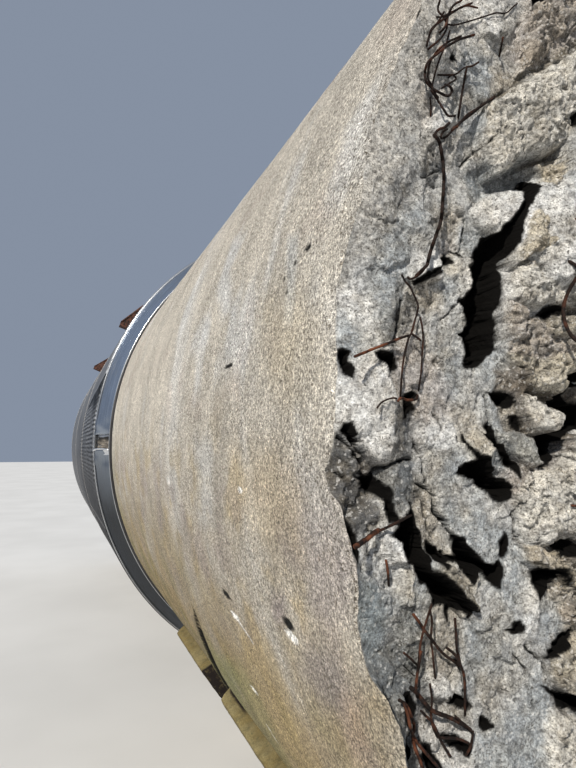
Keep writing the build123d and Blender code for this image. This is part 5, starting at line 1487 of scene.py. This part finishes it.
def hoop_path(s, r, a0=0.0, a1=2 * pi, n=420):
    a = np.linspace(a0, a1, n)
    return np.stack([-np.cos(a) * r, np.full(n, s + Y0) + 0.0006 * np.sin(a * 37), np.sin(a) * r + AXIS], -1)


parts = [bead(hoop_path(s, SHELL_R - 0.0012), 0.0036, k) for k, s in enumerate((4.520, 6.005, 7.490))]
v, f = join_parts(parts)
ob = poly_object("girth_weld_beads", v, f, weld_material)
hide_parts("girth_welds")

# long seams of the courses, and the seam between knuckle and crown
parts = []
for s_a, s_b, first in ((3.060, 4.516, -20), (4.524, 6.001, 25), (6.009, 7.486, -20)):
    for turn in (first, first + 180):
        a = math.radians(turn)
        s = np.linspace(s_a, s_b, 150)
        r = SHELL_R - 0.0018
        parts.append(bead(np.stack([np.full(150, -cos(a) * r), s + Y0, np.full(150, sin(a) * r + AXIS)], -1), 0.0034, int(turn) + 300))
kn = (SHELL_R - 0.180, 7.530)
crown_s = 7.530 - math.sqrt(2.820 ** 2 - kn[0] ** 2)
kl = math.hypot(kn[0], 7.530 - crown_s)
meet = (kn[0] / kl * 3.0, crown_s + (7.530 - crown_s) / kl * 3.0)
parts.append(bead(hoop_path(meet[1] - 0.0006, meet[0], n=520), 0.0042, 77))


def end_hoop(z, r, s, n=90):
    a = np.linspace(0, 2 * pi, n)
    x, zz = np.cos(a) * r, np.sin(a) * r + z
    if s is None:
        q = np.hypot(x, zz)
        st = crown_s + np.sqrt(9.0 - q * q) + 0.001
    else:
        st = np.full(n, s)
    return np.stack([x, st + Y0, zz + AXIS], -1)


for z, r in ((0.820, 0.3055), (0.0, 0.0575), (-0.850, 0.0450)):
    parts.append(bead(end_hoop(z, r + 0.003, None, int(r * 700) + 60), 0.0058, int(r * 1000)))
parts.append(bead(end_hoop(0.820, 0.3065, 8.0625, 280), 0.0045, 5))
parts.append(bead(end_hoop(0.0, 0.0585, 8.1745, 90), 0.0035, 6))
parts.append(bead(end_hoop(-0.850, 0.0458, 8.1245, 80), 0.0032, 7))
v, f = join_parts(parts)
ob = poly_object("seam_weld_beads", v, f, weld_material)

NODE_LOOKS = {
    "course_1_upper": shell_material, "course_1_lower": shell_material, "course_2_upper": shell_material, "course_2_lower": shell_material,
    "course_3_upper": shell_material, "course_3_lower": shell_material, "top_knuckle": head_material, "top_crown": head_material,
    "cone_bottom": head_material, "manway_neck": head_material, "manway_flange": fitting_material, "manway_cover": fitting_material,
    "vent_nozzle": fitting_material, "vent_flange": fitting_material, "inlet_nozzle": fitting_material, "inlet_flange": fitting_material,
    "outlet_pipe": fitting_material,
}
for label, material in NODE_LOOKS.items():
    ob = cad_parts[label]
    if not ob.material_slots:
        ob.data.materials.append(material)
    for place in ob.material_slots:
        place.material = material


# the lower sheet's end at the open joint is bent up, and painted bright as a highlight
flap_highlight_material = make_steel("flap_highlight_steel", (0.86, 0.86, 0.86), (0.74, 0.74, 0.74), rough=(0.30, 0.42), streak=0.06, dirt=0.1)
nm, nw = 26, 14
sv = np.linspace(2.8835, 3.0330, nm)
av = np.radians(np.linspace(-1.60, -3.10, nw))
A, S = np.meshgrid(av, sv, indexing="ij")
mid, off = (S - 2.882) / 0.152, (A - av[0]) / (av[-1] - av[0])
r = 1.4405 + 0.073 * mid + 0.0070 * np.sin(mid * pi) ** 0.6 * np.cos(off * 1.5) + 0.0025 * perlin(mid * 5, off * 3, 1.0)
r = r + 0.006 * step(0.18, 0.0, off) * (0.4 + 0.6 * perlin(mid * 7, 0.0, 4.0))
A = A + math.radians(0.16) * perlin(mid * 6, 2.0, 0.0) * step(0.4, 0.0, off)
outer = np.stack([-np.cos(A) * r, S + Y0, np.sin(A) * r + AXIS], -1).reshape(-1, 3)
r2 = r - 0.0035
inner = np.stack([-np.cos(A) * r2, S + Y0, np.sin(A) * r2 + AXIS], -1).reshape(-1, 3)
front = [tuple(q) for q in grid_faces(nw, nm, flip=True)]
back = [tuple(q + nw * nm) for q in grid_faces(nw, nm)]
border = [i for i in range(nm)] + [i * nm + nm - 1 for i in range(1, nw)] + [(nw - 1) * nm + i for i in range(nm - 2, -1, -1)] + [i * nm for i in range(nw - 2, 0, -1)]
sides_ = [(border[i], border[(i + 1) % len(border)], border[(i + 1) % len(border)] + nw * nm, border[i] + nw * nm) for i in range(len(border))]
ob = poly_object("band_end_flap", np.vstack([outer, inner]), front + back + sides_, flap_highlight_material)

# its edge, painted bright as a highlight
w = np.linspace(0, 1, 30)
turn = np.radians(-1.62 - 0.30 * np.abs(2 * w - 1) ** 2.0) + math.radians(0.05) * perlin(w * 6, 2.0, 0.0)
rr_ = 1.4440 + 0.073 * w + 0.0070 * np.sin(w * pi) ** 0.6
path = np.stack([-np.cos(turn) * rr_, 2.8845 + 0.1475 * w + Y0, np.sin(turn) * rr_ + AXIS], -1)
v, f = tube(path, 0.0046 + 0.0028 * w ** 1.5 + 0.0012 * perlin(w * 7, 1.0, 0.5), sides=8, rough=0.0, seed=2)
ob = poly_object("band_end_lip", v, f, flap_highlight_material)


# -------------------------------------------- manway bolts, handles, gaskets
def end_xyz(x, z, s):
    return (x, s + Y0, z + AXIS)


def turned(cx, cz, profile, sides=32, twist=0.0, wobble=0.0):
    """Profile of (radius, station) turned round a line along Y, ends closed."""
    m = len(profile)
    v, f = [], []
    for r, s in profile:
        for j in range(sides):
            a = twist + 2 * pi * j / sides
            v.append(end_xyz(cx + r * cos(a), cz + r * sin(a), s))
    for i in range(m - 1):
        for j in range(sides):
            a, b = i * sides + j, i * sides + (j + 1) % sides
            f.append((a, b, b + sides, a + sides))
    f.append(tuple(range(sides))[::-1])
    f.append(tuple((m - 1) * sides + j for j in range(sides)))
    return v, f


parts = []
rb = np.random.RandomState(4)
for k in range(20):
    a = 2 * pi * k / 20
    cx, cz = 0.345 * cos(a), 0.820 + 0.345 * sin(a)
    tw = rb.rand() * 2
    parts.append(turned(cx, cz, [(0.0175, 8.1020), (0.0182, 8.1024), (0.0182, 8.1040), (0.0175, 8.1045)], 28))
    parts.append(turned(cx, cz, [(0.0150, 8.1045), (0.0160, 8.1052), (0.0160, 8.1135), (0.0146, 8.1150)], 6, tw))
    parts.append(turned(cx, cz, [(0.0088, 8.1145), (0.0090, 8.1160), (0.0080, 8.1185)], 16))
    # nut and stud end behind the flange
    parts.append(turned(cx, cz, [(0.0145, 8.0500), (0.0158, 8.0508), (0.0158, 8.0632), (0.0158, 8.0640)], 6, tw + 0.4))
    parts.append(turned(cx, cz, [(0.0080, 8.0425), (0.0090, 8.0440), (0.0090, 8.0500)], 16))
v, f = join_parts(parts)
ob = poly_object("manway_studs_and_nuts", v, f, fitting_material, smooth=False)
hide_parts("manway_bolts")

parts = []
for side in (-1, 1):
    x = side * 0.150
    line = [(x, 0.820 + 0.060, 8.1000), (x, 0.820 + 0.060, 8.1200), (x, 0.820 + 0.0595, 8.1380), (x, 0.820 + 0.0520, 8.1465), (x, 0.820 + 0.0400, 8.1480),
            (x, 0.820, 8.1480), (x, 0.820 - 0.0400, 8.1480), (x, 0.820 - 0.0520, 8.1465), (x, 0.820 - 0.0595, 8.1380), (x, 0.820 - 0.060, 8.1200), (x, 0.820 - 0.060, 8.1000)]
    path = smooth_path([end_xyz(*p) for p in line], 5)
    parts.append(tube(path, 0.0080, sides=16, seed=3))
    for z in (0.060, -0.060):
        parts.append(bead([end_xyz(x + 0.0092 * cos(t), 0.820 + z + 0.0092 * sin(t), 8.1025) for t in np.linspace(0, 2 * pi, 30)], 0.0028, 9))
v, f = join_parts(parts)
ob = poly_object("manway_grips", v, f, fitting_material)
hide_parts("manway_handles")


def make_gasket():
    m = Shade("gasket", Roughness=0.8)
    a = m.noise(160, 3, 0.6)
    return m.done(m.mix(m.span(a, 0.35, 0.65), (0.030, 0.030, 0.032), (0.065, 0.060, 0.055)), normal=m.bump(a, 0.5, 0.001))


# edge of the gasket between flange and cover, pressed out a little
a = np.linspace(0, 2 * pi, 240)
path = np.stack([0.3795 * np.cos(a), np.full(240, 8.0840 + Y0), 0.820 + AXIS + 0.3795 * np.sin(a)], -1)
v, f = tube(path, 0.0022 * (1 + 0.2 * perlin(np.cos(a) * 9, np.sin(a) * 9, 1.0)), sides=6)
ob = poly_object("manway_gasket_edge", v, f, make_gasket())


# ------------------------------------------------------- lugs on the shell
def make_rusty_plate():
    m = Shade("rusty_plate", Roughness=0.86)
    m.bsdf.inputs["Specular IOR Level"].default_value = 0.3
    a, b, c_ = m.noise(150, 4, 0.7), m.noise(58, 4, 0.65), m.noise(11, 3, 0.6)
    c = m.mix(m.span(b, 0.36, 0.62), (0.010, 0.007, 0.006), (0.092, 0.036, 0.022))
    c = m.mix(m.math("MULTIPLY", m.span(c_, 0.5, 0.68), 0.40), c, (0.150, 0.085, 0.062))
    c = m.mix(1.0, c, m.grey(m.span(a, 0.3, 0.7, 0.65, 1.35, False)), "MULTIPLY")
    return m.done(c, normal=m.bump(m.math("ADD", a, m.math("MULTIPLY", b, 1.5)), 0.9, 0.0030))


plate_material = make_rusty_plate()


def prism(outline, y0, y1, chamfer=0.0012, side=-1):
    """Outline of (polar angle, radius) on the given side, run along Y, with softened ends."""
    pts = np.array([(r * cos(a), r * sin(a)) for a, r in outline])
    mid = pts.mean(0)
    v, f = [], []
    n = len(pts)
    stations = [(y0, 1), (y0 + chamfer, 0), (y1 - chamfer, 0), (y1, 1)]
    for y, k in stations:
        for p in pts:
            d = (mid - p) / (np.linalg.norm(mid - p) + 1e-9) * chamfer * k
            q = p + d
            v.append((side * q[0], y + Y0, q[1] + AXIS))
    for i in range(len(stations) - 1):
        for j in range(n):
            a, b = i * n + j, i * n + (j + 1) % n
            f.append((a, b, b + n, a + n))
    f.append(tuple(range(n))[::-1])
    f.append(tuple((len(stations) - 1) * n + j for j in range(n)))
    return v, f


def lug(side, s, proud, wide):
    """A folded bracket: sloping top plate, front plate and two side gussets."""
    parts = []
    hi, lo = math.radians(37.2), math.radians(30.0)

    def split(a0, r0, a1, r1, n=7):
        p0, p1 = np.array([r0 * cos(a0), r0 * sin(a0)]), np.array([r1 * cos(a1), r1 * sin(a1)])
        out = []
        for t in np.linspace(0, 1, n):
            q = p0 * (1 - t) + p1 * t
            out.append((math.atan2(q[1], q[0]), math.hypot(*q)))
        return out

    top_out = split(hi, SHELL_R + 0.012, math.radians(30.6), SHELL_R + proud + 0.006)
    top_in = split(math.radians(30.75), SHELL_R + proud - 0.001, hi - 0.0005, SHELL_R + 0.004)
    parts.append(prism(top_out + top_in, s - 0.003, s + wide + 0.003, side=side))
    front_out = split(math.radians(30.6), SHELL_R + proud + 0.004, math.radians(29.62), SHELL_R + proud - 0.001, 3) + split(math.radians(29.62), SHELL_R + proud - 0.003, lo, SHELL_R - 0.001)
    front_in = split(lo + 0.0042, SHELL_R - 0.001, math.radians(30.1), SHELL_R + proud - 0.006)
    parts.append(prism(front_out + front_in, s, s + wide, side=side))
    for y in (s + 0.002, s + wide - 0.009):
        g = split(lo + 0.002, SHELL_R - 0.002, math.radians(30.0), SHELL_R + proud - 0.003, 4) + split(math.radians(30.7), SHELL_R + proud - 0.001, hi - 0.002, SHELL_R + 0.006) + split(hi - 0.004, SHELL_R - 0.002, lo + 0.004, SHELL_R - 0.002, 5)
        parts.append(prism(g, y, y + 0.007, side=side))
    for y in (s - 0.001, s + wide + 0.001):
        a = np.linspace(lo, hi, 40)
        r = SHELL_R + 0.0008
        parts.append(bead(np.stack([side * np.cos(a) * r, np.full(40, y + Y0), np.sin(a) * r + AXIS], -1), 0.0036, 12))
    return parts


for name, side, node in (("lug_brackets_left", -1, "lugs_left"), ("lug_brackets_right", 1, "lugs_right")):
    parts = lug(side, 3.240, 0.052, 0.070) + lug(side, 5.600, 0.080, 0.060)
    v, f = join_parts(parts)
    ob = poly_object(name, v, f, plate_material, smooth=False)
    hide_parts(node)


# ------------------------------------------------------------------ timber
def make_timber():
    """Rough-sawn, weathered softwood with its grain along X."""
    m = Shade("weathered_timber", Roughness=0.9)
    m.bsdf.inputs["Specular IOR Level"].default_value = 0.2
    grain = m.noise(1.0, 5, 0.62, vector=m.stretch(1.6, 42.0, 42.0), distort=0.5)
    fine = m.noise(1.0, 3, 0.7, vector=m.stretch(9.0, 420.0, 420.0))
    patch = m.noise(3.2, 4, 0.6)
    speck = m.noise(180, 3, 0.6)
    split = m.attribute("Split")
    end = m.attribute("EndGrain")
    c = m.mix(m.span(grain, 0.34, 0.66), (0.135, 0.105, 0.072), (0.265, 0.222, 0.165))
    c = m.mix(m.math("MULTIPLY", m.span(patch, 0.40, 0.68), 0.65), c, (0.235, 0.225, 0.205))
    c = m.mix(1.0, c, m.grey(m.span(fine, 0.3, 0.7, 0.72, 1.25, False)), "MULTIPLY")
    c = m.mix(m.math("MULTIPLY", m.span(speck, 0.62, 0.74), 0.5), c, (0.045, 0.038, 0.030))
    n = m.tree.nodes.new("ShaderNodeSeparateXYZ")
    m.put(n.inputs[0], m.coord)
    rings = m.math("SINE", m.math("MULTIPLY", m.math("SQRT", m.math("ADD", m.math("POWER", m.math("ADD", n.outputs[2], 0.03), 2.0), m.math("POWER", m.math("PINGPONG", n.outputs[1], 0.11), 2.0))), 1400.0))
    cut = m.mix(m.span(rings, -0.6, 0.8), (0.085, 0.064, 0.043), (0.170, 0.135, 0.095))
    c = m.mix(end, c, cut)
    c = m.mix(split, c, (0.020, 0.015, 0.011))
    h = m.math("ADD", m.math("MULTIPLY", grain, 1.0), m.math("MULTIPLY", fine, 0.5))
    return m.done(c, normal=m.bump(h, 0.9, 0.0026))


timber_material = make_timber()


def worn_prism(outline, across, x_dir, seed, rows, corner=0.005, caps=5, checks=7):
    """A closed outline in the plane across the run, drawn out along it.

    outline: points (p, z) in order, across: (start, end) along the run.
    x_dir: 'x' when the run is along X, so that p is y; 'y' the other way.
    """
    pts = np.array(rounded(outline, corner, 4))
    # spread points evenly round the outline
    loop = np.vstack([pts, pts[:1]])
    seg = np.hypot(*np.diff(loop, axis=0).T)
    cum = np.concatenate([[0], np.cumsum(seg)])
    count = max(36, int(cum[-1] / 0.014))
    marks_ = np.unique(np.concatenate([np.linspace(0, cum[-1], count, endpoint=False), cum[:-1]]))
    marks_ = marks_[np.concatenate([[True], np.diff(marks_) > 0.0009])]
    px = np.interp(marks_, cum, loop[:, 0])
    pz = np.interp(marks_, cum, loop[:, 1])
    m = len(px)
    mid = np.array([px.mean(), pz.mean()])
    nx, nz = mid[0] - px, mid[1] - pz
    ln = np.hypot(nx, nz)
    nx, nz = nx / ln, nz / ln
    run = np.linspace(across[0], across[1], rows)
    T, PX = np.meshgrid(run, px, indexing="ij")
    _, PZ = np.meshgrid(run, pz, indexing="ij")
    along = 1.5 if x_dir == "x" else 24.0
    groove = np.abs(fbm(T * along * 0.12, PX * 3, PZ * 3 + seed, 9, 3))
    near_end = np.minimum(T - across[0], across[1] - T)
    inward = 0.0030 * step(0.16, 0.0, groove) * 0.6 + 0.0022 * np.abs(fbm(T, PX, PZ + seed, 11, 3))
    inward = inward + 0.004 * step(0.008, 0.0, near_end)
    split = np.zeros_like(T)
    r = np.random.RandomState(seed)
    for _ in range(checks):
        j = r.randint(m)
        reach = 0.05 + 0.35 * r.rand() * (across[1] - across[0]) * 0.5
        which = T - across[0] if r.rand() < 0.5 else across[1] - T
        d = np.abs(((np.arange(m) - j + m / 2) % m) - m / 2)[None, :] + 0.35 * np.abs(perlin(T * 14, j, seed))
        k = step(1.1, 0.2, d) * step(reach, reach * 0.5, which)
        inward = inward + 0.006 * k
        split = np.maximum(split, k * 0.9)
    PX = PX + nx[None] * inward
    PZ = PZ + nz[None] * inward
    V = np.stack([T, PX, PZ], -1) if x_dir == "x" else np.stack([PX, T, PZ], -1)
    v = [V.reshape(-1, 3)]
    f = []
    for i in range(rows - 1):
        for j in range(m):
            a, b = i * m + j, i * m + (j + 1) % m
            f.append((a, b, b + m, a + m) if x_dir == "x" else (a, a + m, b + m, b))
    splits = [split.ravel()]
    endg = [np.zeros(rows * m)]
    base = rows * m
    for which, row in ((0, 0), (1, rows - 1)):
        prev = np.arange(m) + row * m
        t_end = run[row]
        first = V[row]
        centre = first.mean(0)
        for c in range(1, caps):
            w = c / caps
            ring_ = first * (1 - w) + centre * w
            dent = 0.0016 * np.abs(perlin(ring_[:, 0] * 70 + ring_[:, 1] * 70, ring_[:, 2] * 70, seed + c))
            axis_k = 0 if x_dir == "x" else 1
            ring_[:, axis_k] = t_end + (dent if which == 0 else -dent)
            v.append(ring_)
            cur = base + np.arange(m)
            base += m
            for j in range(m):
                a, b, c2, d = prev[j], prev[(j + 1) % m], cur[(j + 1) % m], cur[j]
                flip = (which == 0) == (x_dir == "x")
                f.append((a, d, c2, b) if flip else (a, b, c2, d))
            prev = cur
            splits.append(0.5 * split[row] * (1 - w))
            endg.append(np.full(m, 1.0 if x_dir == "x" else 0.15))
        flip = (which == 0) == (x_dir == "x")
        f.append(tuple(int(q) for q in (prev[::-1] if flip else prev)))
    return (np.vstack(v), f), np.concatenate(splits), np.concatenate(endg)


def timber_object(name, made, node):
    v, f = join_parts([q[0] for q in made])
    ob = poly_object(name, v, f, timber_material, values={"Split": np.concatenate([q[1] for q in made]), "EndGrain": np.concatenate([q[2] for q in made])})
    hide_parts(node)
    return ob


def beam(name, s, wide, half, tall, node, seed):
    y = s + Y0
    out = [(y - wide / 2, 0.0), (y + wide / 2, 0.0), (y + wide / 2, tall), (y - wide / 2, tall)]
    return timber_object(name, [worn_prism(out, (-half, half), "x", seed, 60)], node)


LIFT, SHELL_LIFT = AXIS - R, AXIS - SHELL_R
beam("front_sleeper", 0.550, 0.200, 0.700, LIFT, "sleeper_front", 3)
beam("middle_sleeper", 1.450, 0.200, 0.700, LIFT, "sleeper_middle", 4)
beam("rear_sleeper", 2.520, 0.200, 0.700, LIFT, "sleeper_rear", 5)
beam("near_plank", 5.300, 0.250, 0.600, SHELL_LIFT, "shell_plank_near", 6)
beam("far_plank", 6.700, 0.250, 0.600, SHELL_LIFT, "shell_plank_far", 7)


def wedge(side, s, r, top, x_in, x_out, seed):
    arc = []
    for x in np.linspace(x_out, x_in, 12):
        arc.append((side * x, AXIS - math.sqrt(r * r - x * x)))
    out = [(side * x_in, top + 0.0005), (side * (x_out + 0.030), top + 0.0005), (side * (x_out + 0.030), arc[0][1])] + arc
    if side < 0:
        out = out[::-1]
    return worn_prism(out, (s + Y0 - 0.075, s + Y0 + 0.075), "y", seed, 16, corner=0.004, caps=2, checks=3)


for side, tag in ((-1, "left"), (1, "right")):
    timber_object("plinth_wedges_" + tag, [wedge(side, s, R, LIFT, 0.260, 0.610, 20 + k + (side > 0) * 5) for k, s in enumerate((0.550, 1.450, 2.520))], "wedges_" + tag)
    timber_object("tank_wedges_" + tag, [wedge(side, s, SHELL_R, SHELL_LIFT, 0.260, 0.520, 40 + k + (side > 0) * 5) for k, s in enumerate((5.300, 6.700))], "shell_wedges_" + tag)


# ------------------------------------------------------------ floor, light
def make_floor_material():
    m = Shade("studio_floor", Roughness=0.9)
    n = m.noise(0.8, 3, 0.5)
    return m.done(m.mix(m.span(n, 0.3, 0.7), (0.56, 0.555, 0.54), (0.61, 0.605, 0.59)))


floor_mesh = bpy.data.meshes.new("studio_floor")
floor_mesh.from_pydata([(-60, -60, 0), (60, -60, 0), (60, 60, 0), (-60, 60, 0)], [], [(0, 1, 2, 3)])
floor_mesh.materials.append(make_floor_material())
floor = bpy.data.objects.new("studio_floor", floor_mesh)
collection.objects.link(floor)

world = bpy.data.worlds.new("studio")
scene.world = world
world.use_nodes = True
back = world.node_tree.nodes["Background"]
back.inputs[0].default_value = (0.66, 0.78, 1.0, 1.0)
back.inputs[1].default_value = 0.36


def sun(name, towards, strength, angle, colour):
    lamp = bpy.data.lights.new(name, "SUN")
    lamp.energy, lamp.angle, lamp.color = strength, math.radians(angle), colour
    ob = bpy.data.objects.new(name, lamp)
    ob.rotation_mode = "QUATERNION"
    ob.rotation_quaternion = Vector(towards).to_track_quat("Z", "Y")
    collection.objects.link(ob)
    return ob


sun("key", (-0.57, -0.57, 0.60), 4.9, 2.5, (1.0, 0.955, 0.88))
sun("fill", (0.75, 0.35, 0.55), 0.35, 40.0, (0.93, 0.96, 1.0))
scene.view_settings.view_transform = "Standard"
scene.view_settings.look = "None"
scene.view_settings.exposure = 0.0
